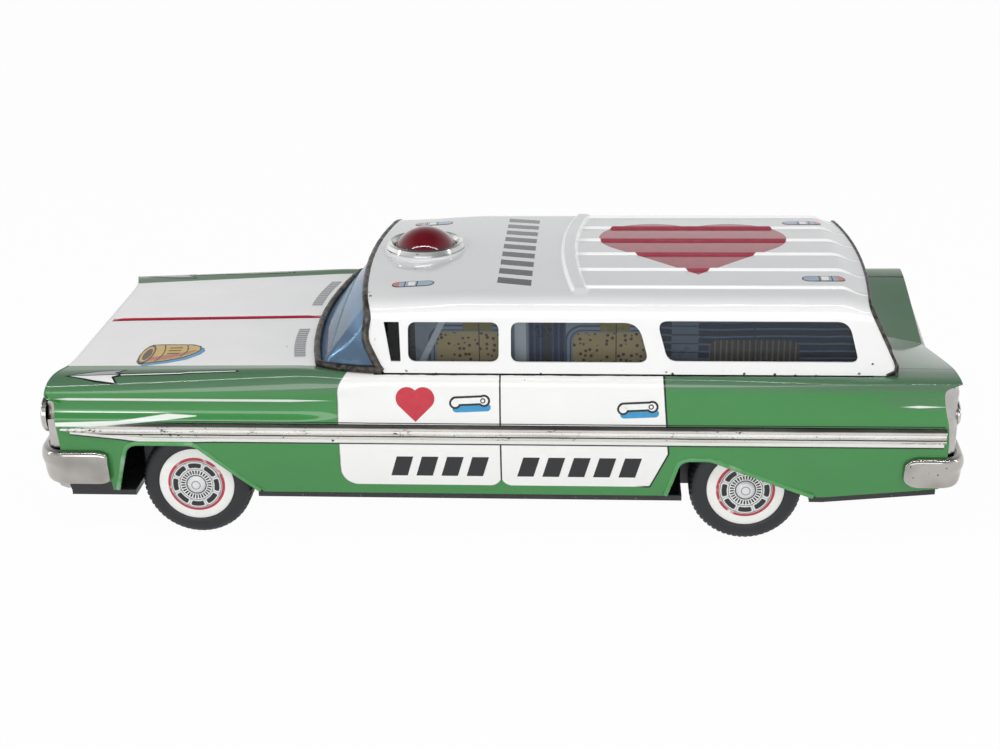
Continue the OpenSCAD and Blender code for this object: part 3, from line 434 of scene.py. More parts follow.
SCREEN_HALF = roof_half(PILLAR_X, ribs=False)
SCREEN_LENGTH = lengths_along(SCREEN_HALF)
CORNER_T = 0.7


def screen_foot(t):
    a, y = abs(t), (HOOD_W + HOOD_FLARE) / 2
    s = (a - CORNER_T) / (1 - CORNER_T)
    if a < CORNER_T:
        return np.array([mix(SCREEN_X, COWL_X, (a / CORNER_T) ** 2), math.copysign(y * a / CORNER_T, t), BELT_Z])
    return np.array([mix(COWL_X, PILLAR_X, s), math.copysign(mix(y, CABIN_Y, 1 - (1 - s) ** 2), t), BELT_Z])


def screen_head(t):
    a = abs(t)
    s = (a - CORNER_T) / (1 - CORNER_T)
    s = ROOF_EDGE_Y * a / CORNER_T if a < CORNER_T else mix(ROOF_EDGE_Y, SCREEN_LENGTH[-1], s)
    y, z = (np.interp(s, SCREEN_LENGTH, SCREEN_HALF[:, k]) for k in range(2))
    return np.array([front_edge(z) + front_bow(y, z), math.copysign(y, t), z])


def screen_at(t, margin, from_head):
    a, b = screen_foot(t), screen_head(t)
    m = min(margin / np.linalg.norm(b - a), 0.45)
    return mix(a, b, 1 - m if from_head else m)


def screen_normal(t):
    c = np.cross(screen_foot(t + 0.01) - screen_foot(t - 0.01), screen_head(t) - screen_foot(t))
    return c / np.linalg.norm(c)


# Node materials

class Value:
    """A socket; arithmetic on it adds Math nodes."""

    def __init__(self, tree, socket):
        self.tree, self.socket = tree, socket

    def __add__(self, o): return self.tree.math("ADD", self, o)
    def __sub__(self, o): return self.tree.math("SUBTRACT", self, o)
    def __mul__(self, o): return self.tree.math("MULTIPLY", self, o)
    def __truediv__(self, o): return self.tree.math("DIVIDE", self, o)
    def __rsub__(self, o): return self.tree.math("SUBTRACT", o, self)


class Tree:
    """A node tree, with short names for the nodes that are used here."""

    def __init__(self, tree):
        self.tree = tree

    def put(self, socket, value):
        if isinstance(value, Value):
            value = value.socket
        if isinstance(value, bpy.types.NodeSocket):
            self.tree.links.new(value, socket)
        elif isinstance(value, tuple) and len(value) < len(socket.default_value):
            socket.default_value = (*value, 1.0)
        else:
            socket.default_value = value

    def node(self, kind, inputs=(), **settings):
        node = self.tree.nodes.new("ShaderNode" + kind)
        for key, value in settings.items():
            setattr(node, key, value)
        for key, value in dict(inputs).items():
            self.put(node.inputs[key], value)
        return node

    def math(self, op, *args, clamp=False):
        return Value(self, self.node("Math", enumerate(args), operation=op, use_clamp=clamp).outputs[0])

    def abs(self, a): return self.math("ABSOLUTE", a)
    def min(self, a, b): return self.math("MINIMUM", a, b)
    def max(self, a, b): return self.math("MAXIMUM", a, b)
    def frac(self, a): return self.math("FRACT", a)
    def length(self, a, b): return self.math("SQRT", a * a + b * b)

    def all(self, *masks):
        out = masks[0]
        for m in masks[1:]:
            out = out * m
        return out

    def any(self, *masks):
        out = masks[0]
        for m in masks[1:]:
            out = self.max(out, m)
        return out

    def fit(self, a, low, high, to_low, to_high):
        return Value(self, self.node("MapRange", enumerate((a, low, high, to_low, to_high))).outputs[0])

    def blend(self, fac, a, b):
        return self.node("Mix", {0: fac, 6: a, 7: b}, data_type="RGBA").outputs[2]


class Net(Tree):
    """One material: its coordinates in millimetres, and its colour as it is painted layer by layer."""

    def __init__(self, name):
        self.material = bpy.data.materials.new(name)
        self.material.use_nodes = True
        super().__init__(self.material.node_tree)
        self.shader = self.tree.nodes["Principled BSDF"]
        coord = self.node("TexCoord").outputs["Object"]
        self.place = self.node("VectorMath", {0: coord, "Scale": 1 / MM}, operation="SCALE").outputs[0]
        self.x, self.y, self.z = (Value(self, s) for s in self.node("SeparateXYZ", {0: self.place}).outputs)

    def under(self, a, edge, soft=0.12):
        """1 where a is below edge."""
        return self.math("MULTIPLY_ADD", a, -1 / soft, edge / soft + 0.5, clamp=True)

    def over(self, a, edge, soft=0.12):
        return self.math("SUBTRACT", 1, self.under(a, edge, soft))

    def between(self, a, low, high, soft=0.12):
        return self.under(self.abs(a - (low + high) / 2), (high - low) / 2, soft)

    def box(self, u, v, u0, v0, u1, v1, radii):
        """Signed distance to a rounded box; radii go anticlockwise from the lower left corner."""
        pu, pv = u - (u0 + u1) / 2, v - (v0 + v1) / 2
        bl, br, tr, tl = radii
        r = bl
        if len(set(radii)) > 1:
            right, top = self.over(pu, 0, 0.001), self.over(pv, 0, 0.001)
            low, high = right * (br - bl) + bl, right * (tr - tl) + tl
            r = low + top * (high - low)
        qu, qv = self.abs(pu) - (u1 - u0) / 2 + r, self.abs(pv) - (v1 - v0) / 2 + r
        return self.min(self.max(qu, qv), 0) + self.length(self.max(qu, 0), self.max(qv, 0)) - r

    def heart(self, u, v, size):
        """1 inside a heart whose half width is size; it stands on its tip at 0, 0."""
        k = size / 0.604
        a = self.abs(u)
        lobe = self.under(self.length(a - 0.25 * k, v - 0.75 * k), 0.3536 * k)
        wedge = self.under(a - v, 0)
        high = self.over(a + v, k, 0.02)
        return wedge + high * (lobe - wedge)

    def noise(self, scale, detail=3, rough=0.55, stretch=None):
        place = self.place
        if stretch:
            place = self.node("VectorMath", {0: place, 1: stretch}, operation="MULTIPLY").outputs[0]
        inputs = {"Vector": place, "Scale": scale, "Detail": detail, "Roughness": rough}
        return Value(self, self.node("TexNoise", inputs).outputs["Fac"])

    def cells(self, scale, randomness=1.0):
        """Outputs of scattered points: the distance to the nearest one, and its random colour."""
        inputs = {"Vector": self.place, "Scale": scale, "Randomness": randomness}
        return self.node("TexVoronoi", inputs).outputs

    def chips(self, cell, size, share):
        """Sparse small specks where the finish has come off: one in some cells."""
        cells = self.cells(1 / cell)
        pick = self.node("SeparateColor", {0: cells["Color"]}).outputs[0]
        ragged = Value(self, cells["Distance"]) * cell - self.noise(1.6, 3, 0.7) * size * 1.4
        return self.all(self.under(ragged, 0), self.under(pick, share, 0.01))

    def mottle(self, scale, a, b, detail=3):
        """Two colours that run into each other."""
        return self.blend(self.noise(scale, detail), a, b)

    def paint(self, mask, colour):
        self.colour = self.blend(mask, self.colour, colour)

    def gloss(self, tone, low, high):
        """Roughness that follows a tone."""
        return self.fit(tone, 0.3, 0.7, low, high)

    def bump(self, height, distance, strength):
        inputs = {"Strength": strength, "Distance": distance * MM, "Height": height}
        self.put(self.shader.inputs["Normal"], self.node("Bump", inputs).outputs[0])

    def finish(self, **sockets):
        for name, value in {"Base_Color": self.colour, **sockets}.items():
            self.put(self.shader.inputs[name.replace("_", " ")], value)
        return self.material


def srgb(r, g, b):
    return tuple(c / 255 / 12.92 if c <= 10.3 else ((c / 255 + 0.055) / 1.055) ** 2.4 for c in (r, g, b))


BLACK, LOST = srgb(30, 31, 34), srgb(60, 52, 46)


def body_material():
    n = Net("body_print")
    x, z, ay = n.x, n.z, n.abs(n.y)
    side, top = n.over(ay, 46, 0.5), n.over(z, 43.5, 0.5)
    # Green; where the sheet faces up it is painted greyer, a painted reflection of the sky
    tone = n.noise(0.02)
    n.colour = n.blend(tone, srgb(58, 130, 66), srgb(68, 142, 77))
    deck_sheen = n.all(n.over(x, 108, 6), n.over(z, 40.5), n.under(ay, 50.5, 1))
    fender_sheen = n.all(n.over(z, 45.3, 2.2), n.under(x, -40, 8))
    shoulder = n.all(n.over(z, 46.8, 2), n.over(x, 46, 4))
    n.paint(n.any(deck_sheen, fender_sheen, shoulder), n.blend(tone, srgb(78, 114, 84), srgb(90, 126, 97)))
    # White hood with a red stripe
    hood = n.all(n.under(ay, (x + 125) * 0.06 + 38.2, 0.1), n.under(x, -44, 0.2), top)
    n.paint(hood, n.mottle(0.06, srgb(240, 241, 240), srgb(252, 252, 250), 4))
    stripe = n.all(n.under(ay, 1.25), n.between(x, -121.6, -54.7), top)
    n.paint(stripe, n.blend(n.under(ay, 0.9, 0.25), srgb(120, 22, 40), srgb(186, 36, 60)))
    # White doors, their seams, a heart and rows of bars
    front = n.box(x, z, -43.3, 17, 2.7, 52, (5, 3.2, 0, 7.5))
    rear_edge, low_cut = (z - 50) * -0.073 + 48.35, (z - 27.7) * 0.48 + 50
    rear = n.max(n.box(x, z, 2.7, 17, 60, 52, (3.2, 0, 0, 0)), x - n.min(rear_edge, low_cut))
    door = n.all(n.under(n.min(front, rear), 0), side)
    n.paint(door, n.mottle(0.05, srgb(238, 238, 236), srgb(245, 245, 243), 4))
    seam = n.any(n.all(n.under(n.abs(x - 2.7), 0.24), n.over(z, 19, 1)),
                 n.all(n.under(n.abs(front), 0.2), n.under(x, -40, 2), n.noise(0.35, 2)),
                 n.all(n.under(n.abs(rear), 0.28), n.over(x, 42, 3)))
    n.paint(n.all(seam, side), BLACK)
    heart = n.all(n.heart(x + 21.2, z - 36.9, 5.5), side)
    n.paint(heart, n.mottle(0.5, srgb(186, 40, 58), srgb(204, 58, 74)))
    slant = x - z * 0.3
    bars = n.all(n.between(z, 20, 26.2), n.under(n.frac(slant / 7.2 + 0.84), 0.66, 0.02),
                 n.max(n.between(slant, -34.9, -6.2), n.between(slant, 1.2, 37.0)), side)
    n.paint(bars, BLACK)
    # Lines beside the side strip
    drop = z - n.max(x * -1 - 101, 0) * 0.1
    along = n.all(n.between(x, -121, 126), side)
    n.paint(n.all(n.between(drop, 30.25, 31.9), along), srgb(240, 240, 236))
    lines = n.any(n.between(drop, 29.95, 30.35), n.all(n.between(z, 36.3, 36.6), n.over(x, -90, 12)))
    n.paint(n.all(lines, along), BLACK)
    # Painted shade in the grooves of the deck
    n.paint(n.all(n.between(ay, GROOVE_Y, GROOVE_Y + 1.1), n.over(x, 100), n.over(z, 40)), BLACK)
    # Painted highlights standing in for reflections of the lights: on the crease, a wedge above the strip, an
    # edge, and a dash at the tail
    taper = n.min(n.min((x + 125) / 4, (-46 - x) / 11), 1)
    crease_highlight = n.under(n.abs(z - 42.5), taper * 0.42, 0.2)
    low = n.max(x + 113, 0) * 0.108 + 34.6
    high = n.min(n.max((x + 126) * 0.035 + 35.75, (x + 105.4) * 0.13 + 36.6), (x + 92.4) * -0.045 + 38.3)
    wedge = n.all(n.over(z, low, 0.2), n.under(z, high, 0.2), n.between(x, -125, -84))
    edge = n.all(n.between(z, 38.45, 38.75), n.between(x, -124, -94, 6))
    tail_dash_highlight = n.under(n.abs(z - 42), n.min(x - 114, (126 - x) * 0.6) * 0.08, 0.2)
    n.paint(n.all(n.any(crease_highlight, wedge, edge, tail_dash_highlight), side) * 0.92, srgb(244, 249, 244))
    # Painted shadow where the roof meets the body and under the front bumper, and wear
    belt_shadow = n.all(n.between(x, -33, 106), n.under(ay, n.noise(0.25) * 0.7 + 48.15), n.over(z, 49.3, 0.2),
                 n.over(ay, 46))
    n.paint(n.max(belt_shadow, n.all(n.under(z, 16.8), n.under(x, -110.6))), BLACK)
    n.paint(n.chips(9, 0.5, 0.22), srgb(58, 54, 50))
    n.bump(n.noise(0.12, 2) + n.noise(2.5, 2) * 0.02, 0.06, 0.35)
    return n.finish(Roughness=n.gloss(n.noise(0.12, 4), 0.04, 0.1), IOR=1.5)


def lip_material():
    n = Net("lip_print_and_sheen")
    # Lighter green than the body, with white streaks: painted highlights on the rolled edge
    n.colour = n.mottle(0.3, srgb(66, 138, 74), srgb(92, 164, 100))
    n.paint(n.fit(n.noise(0.07), 0.56, 0.7, 0, 0.35), srgb(236, 244, 236))
    n.bump(n.noise(0.5, 2), 0.05, 0.3)
    return n.finish(Roughness=n.gloss(n.noise(0.2), 0.06, 0.14))


def roof_material():
    n = Net("roof_print")
    x, y, z, ay = n.x, n.y, n.z, n.abs(n.y)
    n.colour = n.mottle(0.04, srgb(236, 237, 236), srgb(244, 244, 243), 4)
    # Painted shade: the top is painted greyer than the sides
    n.paint(n.over(z, 69.5, 2.5), n.mottle(0.04, srgb(214, 216, 218), srgb(226, 228, 228), 4))
    # Painted shade beside each rib, and painted highlights on the rib crests and the cross ridge's edges
    bow = y * y * 0.00253 + 21.2
    near = (n.frac((y + 35.5) / 14.2 + 0.5) - 0.5) * 14.2
    ribbed = n.all(n.between(x, 25, 106, 4), n.over(x, bow + 2), n.over(z, 66), n.under(ay, 38))
    n.paint(n.all(ribbed, n.between(near, 0.5, 1.3, 0.4)), srgb(194, 197, 200))
    ridge = n.all(n.between(n.abs(x - bow), 1.6, 2.5, 0.3), n.over(z, 68.5), n.under(ay, 38.5, 1))
    n.paint(n.any(n.all(ribbed, n.between(near, -0.85, 0.3, 0.3)), ridge), srgb(254, 254, 254))
    # A heart and a row of bars
    heart = n.all(n.heart(x - 58.5, y + 25, 28.5), n.under(ay, 38.5, 0.2), n.over(z, 66))
    n.paint(heart, n.mottle(0.3, srgb(152, 58, 72), srgb(170, 80, 92), 4))
    slant = (y + x * 0.25) / 7.7
    bars = n.all(n.between(x, 1.2, 11), n.under(n.frac(slant + 0.1), 0.6, 0.02), n.under(ay, 34.6))
    n.paint(bars, n.mottle(0.6, srgb(48, 49, 54), srgb(82, 83, 88), 4))
    worn = n.any(n.chips(8, 0.55, 0.3), n.all(n.chips(2, 0.6, 0.5), n.under(z, 51, 0.8)),
                 n.all(n.chips(2.2, 0.7, 0.5), n.under(x, -33, 2), n.under(z, 70)))
    n.paint(worn, srgb(52, 50, 50))
    n.bump(n.noise(0.2) + n.noise(2.5, 2) * 0.08, 0.08, 0.3)
    return n.finish(Roughness=n.gloss(n.noise(0.1, 4), 0.06, 0.14), IOR=1.5)


def plated_material(name, dark, light, rough):
    """Cloudy plating."""
    n = Net(name)
    blotch = n.noise(0.07, 2, 0.5)
    n.colour = n.blend(n.fit(blotch, 0.34, 0.62, 0, 1), dark, light)
    n.paint(n.over(n.noise(0.9, 3, 0.6), 0.7, 0.05), LOST)
    n.bump(blotch + n.noise(1.2, 2) * 0.03, 0.12, 0.5)
    return n.finish(Metallic=1.0, Roughness=n.fit(blotch, 0.35, 0.65, rough[1], rough[0]))


def panel_material(name, shade_places, dark):
    """Plating of an end panel; a function of the net gives the places where shade is painted on it."""
    n = Net(name)
    tone = n.noise(0.25, 4, 0.6)
    n.colour = n.blend(tone, (0.36, 0.35, 0.335), (0.58, 0.565, 0.54))
    n.paint(shade_places(n), dark)
    n.paint(n.chips(5, 0.4, 0.25), LOST)
    n.bump(tone, 0.08, 0.4)
    return n.finish(Metallic=1.0, Roughness=n.gloss(tone, 0.24, 0.12))


def grille_recess_shade(n):
    # Painted shade in the grille's recess between its blades
    return n.all(n.under(n.abs(n.y), 25.6, 0.2), n.between(n.z, 28.1, 40.3), n.over(n.x, -129.05, 0.1))


def tail_shade_lines(n):
    """Painted shade: a dark line round each lamp and one under each rib."""
    u = n.abs(n.y) - TAIL_LAMP_Y
    rim = n.length(u / 13.2, (n.z - TAIL_LAMP_Z + u * -0.105) / 5.6)
    ribs = n.any(*[n.between(n.z, z - 1.0, z - 0.5, 0.3) for z in TAIL_RIBS])
    ribs = n.all(ribs, n.under(n.abs(n.y), 21, 0.6))
    return n.all(n.max(n.between(rim, 0.9, 1.0, 0.06), ribs), n.over(n.x, 130.0, 0.1))


def trim_material():
    """Bright strip with a painted highlight along its middle, a dark upper band, a dark line low down and specks
    of lost plating.
    """
    n = Net("trim_plate")
    tone = n.noise(0.15, 4, 0.6, (0.2, 1, 1))
    z = n.z + n.noise(0.3, 3, 0.6, (0.25, 1, 1)) * 0.3
    n.colour = n.blend(tone, (0.48, 0.46, 0.42), (0.86, 0.85, 0.82))
    # Painted highlight along the middle of the strip
    n.paint(n.between(z, 33.7, 34.5, 0.5) * 0.75, (0.98, 0.98, 0.97))
    n.paint(n.over(z, 35.3, 0.3), n.blend(tone, (0.05, 0.046, 0.044), (0.2, 0.19, 0.18)))
    n.paint(n.between(z, 32.75, 33.15, 0.2), srgb(52, 48, 42))
    specks = n.over(n.noise(1.3, 3, 0.65, (0.35, 1, 1)) + n.noise(0.05, 2) * 0.4, 0.86, 0.04)
    n.paint(specks, srgb(44, 40, 38))
    n.bump(tone, 0.08, 0.4)
    return n.finish(Metallic=0.9, Roughness=n.gloss(tone, 0.16, 0.32))


def frame_material():
    n = Net("dark_frame")
    tone = n.noise(0.5, 5, 0.7)
    n.colour = n.blend(n.fit(tone, 0.35, 0.65, 0, 1), srgb(40, 37, 36), srgb(92, 87, 83))
    n.bump(tone, 0.15, 0.6)
    return n.finish(Metallic=0.7, Roughness=n.gloss(tone, 0.55, 0.28))


def pane_material(name, deep, light, ior, reflection_colour=None):
    """Clear sheet with a gloss; where a colour is given, uneven streaks of it are painted on as a painted
    reflection.
    """
    n = Net(name)
    clear = n.node("BsdfTransparent", {"Color": n.mottle(0.05, deep, light)})
    gloss = n.node("BsdfGlossy", {"Roughness": n.gloss(n.noise(0.3), 0.02, 0.08)})
    fresnel = n.node("Fresnel", {"IOR": ior})
    pane = n.node("MixShader", {0: fresnel.outputs[0], 1: clear.outputs[0], 2: gloss.outputs[0]})
    if reflection_colour:
        # Streaks of matt colour mixed in: a painted reflection on the pane
        painted_reflection = n.node("BsdfDiffuse", {"Color": reflection_colour})
        streaks = n.fit(n.noise(0.05, 2, 0.5, (1.5, 0.6, 2)), 0.4, 0.66, 0.2, 0.44)
        pane = n.node("MixShader", {0: streaks, 1: pane.outputs[0], 2: painted_reflection.outputs[0]})
    n.put(n.tree.nodes["Material Output"].inputs["Surface"], pane.outputs[0])
    n.tree.nodes.remove(n.shader)
    return n.material


def inner_material():
    """Print behind the windows: spotted seats behind the doors, a bench behind the long window."""
    n = Net("inner_print")
    x, z = n.x, n.z
    u = x - n.over(x, 4, 0.01) * 38.5
    n.colour = n.mottle(0.2, srgb(104, 110, 116), srgb(146, 150, 152))
    seat = n.box(u, z, -15.5, 46, 8, 60.5, (1, 1, 1, 2.6))
    n.paint(n.any(n.between(seat, 0.5, 0.9), n.between(seat, 1.7, 2.3)), srgb(58, 70, 98))
    spots = n.under(n.cells(0.62, 0.6)["Distance"], 0.3, 0.05)
    n.paint(n.under(seat, 0), n.blend(spots, srgb(168, 144, 98), srgb(66, 44, 28)))
    n.paint(n.all(n.between(u, -8, 0.5), n.over(z, 60.9)), srgb(120, 108, 58))
    stripes = n.blend(n.under(n.frac(x / 1.7), 0.35, 0.1), srgb(28, 34, 56), srgb(60, 72, 104))
    n.paint(n.all(n.between(x, 10.5, 21), n.over(x, 4)), stripes)
    n.paint(n.any(n.between(u, -3.6, -3.3), n.between(u, -24, -21.5)), srgb(44, 42, 44))
    n.paint(n.any(n.between(x, 6.6, 9.8), n.between(x - z * 0.5, -46.5, -44.6)), srgb(186, 188, 188))
    doors = n.colour
    wave = n.under(n.frac((z + n.noise(0.03, 2) * 3) / 2.1), 0.22, 0.12)
    n.colour = n.blend(wave, srgb(16, 24, 38), srgb(72, 94, 122))
    quilt = n.blend(n.under(n.frac(x / 1.6), 0.3, 0.1), srgb(48, 44, 40), srgb(98, 88, 72))
    n.paint(n.under(n.box(x, z, 61, 52, 86, 58.5, (1, 1, 2.5, 2.5)), 0), quilt)
    drawers = n.blend(n.under(n.frac(z / 2.6), 0.16, 0.05), srgb(84, 92, 104), srgb(40, 46, 60))
    n.paint(n.under(n.box(x, z, 50.5, 50, 58, 66, (0.5,) * 4), 0), drawers)
    n.paint(n.between(x, 73.2, 73.7), srgb(24, 26, 34))
    n.colour = n.blend(n.over(x, 45.5, 0.05), doors, n.colour)
    return n.finish(Roughness=n.gloss(n.noise(0.2), 0.25, 0.4))


def black_material():
    n = Net("base_black")
    tone = n.noise(0.2, 4)
    n.colour = n.blend(tone, srgb(22, 23, 26), srgb(48, 49, 52))
    n.paint(n.over(n.noise(0.9), 0.7, 0.03), srgb(118, 116, 112))
    n.bump(n.noise(0.3, 4), 0.1, 0.4)
    return n.finish(Roughness=n.gloss(tone, 0.2, 0.38))


def lens_material(name, deep, light, rough, ribs=None):
    n = Net(name)
    tone = n.noise(0.3)
    n.colour = n.blend(tone, deep, light)
    n.bump(n.frac(n.y / ribs) if ribs else n.noise(0.4, 2), 0.05, 0.4)
    return n.finish(Roughness=n.gloss(tone, rough * 0.7, rough * 1.4), IOR=1.5, Coat_Weight=0.6)


def rubber_material():
    n = Net("tyre_rubber")
    tone = n.noise(0.35, 4, 0.6)
    n.colour = n.blend(tone, srgb(18, 19, 22), srgb(34, 36, 40))
    n.bump(n.noise(3) + tone, 0.08, 0.6)
    return n.finish(Roughness=n.gloss(tone, 0.42, 0.62))


def disc_material(name, axle_x):
    """Wheel disc: a red ring, slots, ticks and plain rings, from the rim to the middle."""
    n = Net(name)
    u, v = n.x - axle_x, n.z - AXLE_Z
    r = n.length(u, v)
    turn = n.math("ARCTAN2", v, u) / (2 * math.pi)
    n.colour = n.mottle(0.25, srgb(232, 232, 229), srgb(246, 246, 243), 4)
    worn = n.under(n.noise(0.25, 2), 0.62, 0.12)
    n.paint(n.all(n.between(r, 7.5, 8.35), worn), srgb(180, 52, 68))
    n.paint(n.under(r, 7.2), n.mottle(0.4, srgb(168, 170, 172), srgb(200, 202, 203)))
    n.paint(n.any(n.between(r, 7.15, 7.35), n.between(r, 4.75, 4.95)), srgb(70, 72, 76))
    slot = n.box((n.frac(turn * 8 + 0.5) - 0.5) * 4.8, r, -1.85, 5.35, 1.85, 6.75, (0.4,) * 4)
    n.paint(n.under(slot, 0), BLACK)
    n.paint(n.between(slot, 0.16, 0.36), srgb(244, 244, 244))
    n.paint(n.under(r, 4.75), srgb(222, 223, 223))
    n.paint(n.all(n.between(r, 3.25, 4.45), n.under(n.frac(turn * 30), 0.55, 0.1)), BLACK)
    n.paint(n.between(r, 2.65, 3.0), srgb(44, 45, 48))
    n.paint(n.under(r, 2.65), n.mottle(0.6, srgb(206, 208, 210), srgb(232, 233, 234)))
    n.paint(n.between(r, 1.1, 1.35), srgb(120, 122, 126))
    n.bump(n.under(slot, 0, 0.4) * -1 + n.between(r, 7.0, 7.5, 0.3), 0.15, 0.6)
    return n.finish(Roughness=n.gloss(n.noise(0.3), 0.16, 0.3))


def metal_material(name, dark, light, rough, stretch=None):
    n = Net(name)
    tone = n.noise(0.6, 4, 0.6, stretch)
    n.colour = n.blend(tone, dark, light)
    n.bump(tone, 0.05, 0.5)
    return n.finish(Metallic=1.0, Roughness=n.gloss(tone, *rough))


def ink(name, a, b):
    n = Net(name)
    n.colour = n.mottle(0.7, a, b, 4)
    n.bump(n.noise(0.25), 0.05, 0.3)
    return n.finish(Roughness=n.gloss(n.noise(0.2), 0.14, 0.26))


body_print, roof_print, inner_print = body_material(), roof_material(), inner_material()
plated = plated_material("plated", (0.3, 0.285, 0.27), (0.46, 0.445, 0.42), (0.1, 0.24))
bright_plate = plated_material("bright_plate", (0.5, 0.49, 0.47), (0.72, 0.71, 0.69), (0.08, 0.16))
beacon_plate = plated_material("beacon_plate", (0.4, 0.4, 0.4), (0.85, 0.85, 0.84), (0.06, 0.18))
grille_plate = panel_material("grille_plate", grille_recess_shade, (0.03, 0.028, 0.026))
tail_plate = panel_material("panel_plate", tail_shade_lines, (0.06, 0.056, 0.05))
trim_plate, dark_frame, base_black, rubber = trim_material(), frame_material(), black_material(), rubber_material()
clear_pane = pane_material("clear_pane", srgb(232, 236, 240), srgb(244, 247, 249), 1.28)
screen_blue = pane_material("screen_blue", srgb(150, 186, 214), srgb(186, 214, 232), 1.5, srgb(150, 188, 222))
lamp_clear = lens_material("lamp_clear", srgb(206, 204, 190), srgb(238, 236, 226), 0.12, 0.9)
lamp_red = lens_material("lamp_red", srgb(78, 4, 18), srgb(122, 12, 28), 0.08)
steel = metal_material("steel", (0.34, 0.34, 0.34), (0.62, 0.62, 0.61), (0.2, 0.42), (1, 0.15, 1))
brass = metal_material("brass_gear", (0.5, 0.36, 0.12), (0.78, 0.6, 0.28), (0.2, 0.4))
iron = metal_material("flywheel_iron", (0.12, 0.12, 0.12), (0.28, 0.28, 0.28), (0.35, 0.6))
inside = ink("inner_tin", srgb(58, 56, 54), srgb(84, 81, 78))

# CAD nodes that keep their shape
CARRIED = ((clear_pane, "side_glazing_left side_glazing_right rear_window"), (dark_frame, "rear_window_frame"),
           (inner_print, "interior_panel_left interior_panel_right"), (base_black, "base_plate"),
           (grille_plate, "grille"), (tail_plate, "rear_panel"), (trim_plate, "trim_left trim_right"),
           (lamp_clear, "headlamps"), (lamp_red, "tail_lamps beacon_dome"), (beacon_plate, "beacon_ring"),
           (steel, "motor_plate_left motor_plate_right motor_pillars"),
           (steel, "front_axle rear_axle idler_shaft flywheel_shaft"),
           (brass, "axle_gear idler_pinion idler_gear flywheel_pinion"), (iron, "flywheel"))
for material, nodes in CARRIED:
    for node in nodes.split():
        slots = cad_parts[node].data.materials
        slots.clear()
        slots.append(material)

# Body
grid = body_grid()
body_tree = surface_tree(grid)
body = new_object("body_skin", *shell(grid, 0.55), body_print, slot="body_print", replaces=("body_shell",),
                  lining=inside)
line_inside(body, grid)
opening = prism("cut", [(-46, 38), (98, 38), (98, 62), (-46, 62)], -40, 40)
cut(body, *[prism("cut", a, s * 42, s * 62) for a in ARCHES for s in SIDES], opening)
arch_lips(lip_material())

# Rolled lip that closes the nose between the hood's front edge and the grille
edge = grid[0][grid[0][:, 2] > 43.4]
rows = []
for s in np.linspace(0, 1, 12):
    row = edge.copy()
    row[:, 0] = mix(edge[:, 0], -123.4, s * s) - 0.7 * math.sin(math.pi * s)
    row[:, 2] = mix(edge[:, 2], 41.4, s)
    rows.append(row)
new_object("nose_lip", *shell(np.stack(rows), 0.5), body_print, slot="body_print")

# Roof
xs = np.concatenate([np.arange(PILLAR_X, ROOF_END_X, 1.5), np.arange(18, 28, 0.35), [ROOF_END_X]])
grid = np.stack([roof_row(x) for x in np.unique(xs)])
roof_tree = surface_tree(grid)
roof = new_object("roof_skin", *shell(grid, 0.6), roof_print, slot="roof_print", replaces=("roof_shell",),
                  lining=inside)
line_inside(roof, grid)
cut(roof, *[prism("cut", w, -60, 60) for w in window_outlines()])

# Dark flange of the rear window's frame round the roof's rear edge
path = grid[-1] + np.array([0.12, 0, 0])
path = [p for i, p in enumerate(path) if i % 3 == 0 or abs(p[1]) > ROOF_EDGE_Y - 1]
tubes("roof_end_flange", [(path, 0.42, False)], dark_frame, "dark_frame", sides=10)

# Rims of the lamps, upright blades of the grille and ribs of the tail panel
rim = LAMP_R + 0.5
rims = [(oval(GRILLE_X - 1.15, s * y, LAMP_Z, rim, rim), 0.5, True) for s in SIDES for y in LAMP_YS]
tubes("headlamp_rims", rims, bright_plate)
zs = np.linspace(28.8, 39.3, 12)
xs = GRILLE_X - 0.35 - 0.15 * np.sin(np.linspace(0, math.pi, 12))
blades = [(np.stack([xs, np.full(12, y), zs], 1), 0.3, False) for y in np.linspace(-22.4, 22.4, 15)]
tubes("grille_blades", blades, bright_plate)
a, b = (r + 0.2 for r in TAIL_LAMP_SIZE)
rims = [(oval(TAIL_FACE_X, s * TAIL_LAMP_Y, TAIL_LAMP_Z, a, b, s * math.radians(6)), 0.6, True) for s in SIDES]
tubes("tail_lamp_rims", rims, bright_plate)
ys = np.linspace(-TAIL_RIB_Y, TAIL_RIB_Y, 42)
radii = 0.12 + 0.5 * np.sqrt(np.clip(1 - (ys / TAIL_RIB_Y) ** 8, 0, 1))
ribs = [(np.stack([np.full(42, TAIL_FACE_X), ys, np.full(42, z)], 1), radii, False) for z in TAIL_RIBS]
tubes("tail_ribs", ribs, bright_plate)

# End pieces of the inner print
for word, side in NAMED_SIDES:
    outline = [(96, 50.6), (106, 50.6), (101.5, 66.2), (96, 66.2)]
    prism(f"inner_end_{word}", outline, side * 42.7, side * 42.2, inner_print, "car", "inner_print")

# Beacon seat
profile = np.array([(0.0, -2.5), (12.0, -2.5), (12.5, -0.7), (12.2, -0.15), (11.8, 0.0), (0.0, 0.0)])
profile = [p for a, b in zip(profile, np.roll(profile, -1, 0)) for p in (a, mix(a, b, 0.5))]
seat = revolve(profile, 96, lambda a, h, b: np.stack([a + BEACON_X, b, h + BEACON_Z], -1))
new_object("beacon_seat", *seat, roof_print, slot="roof_print", angle=50)

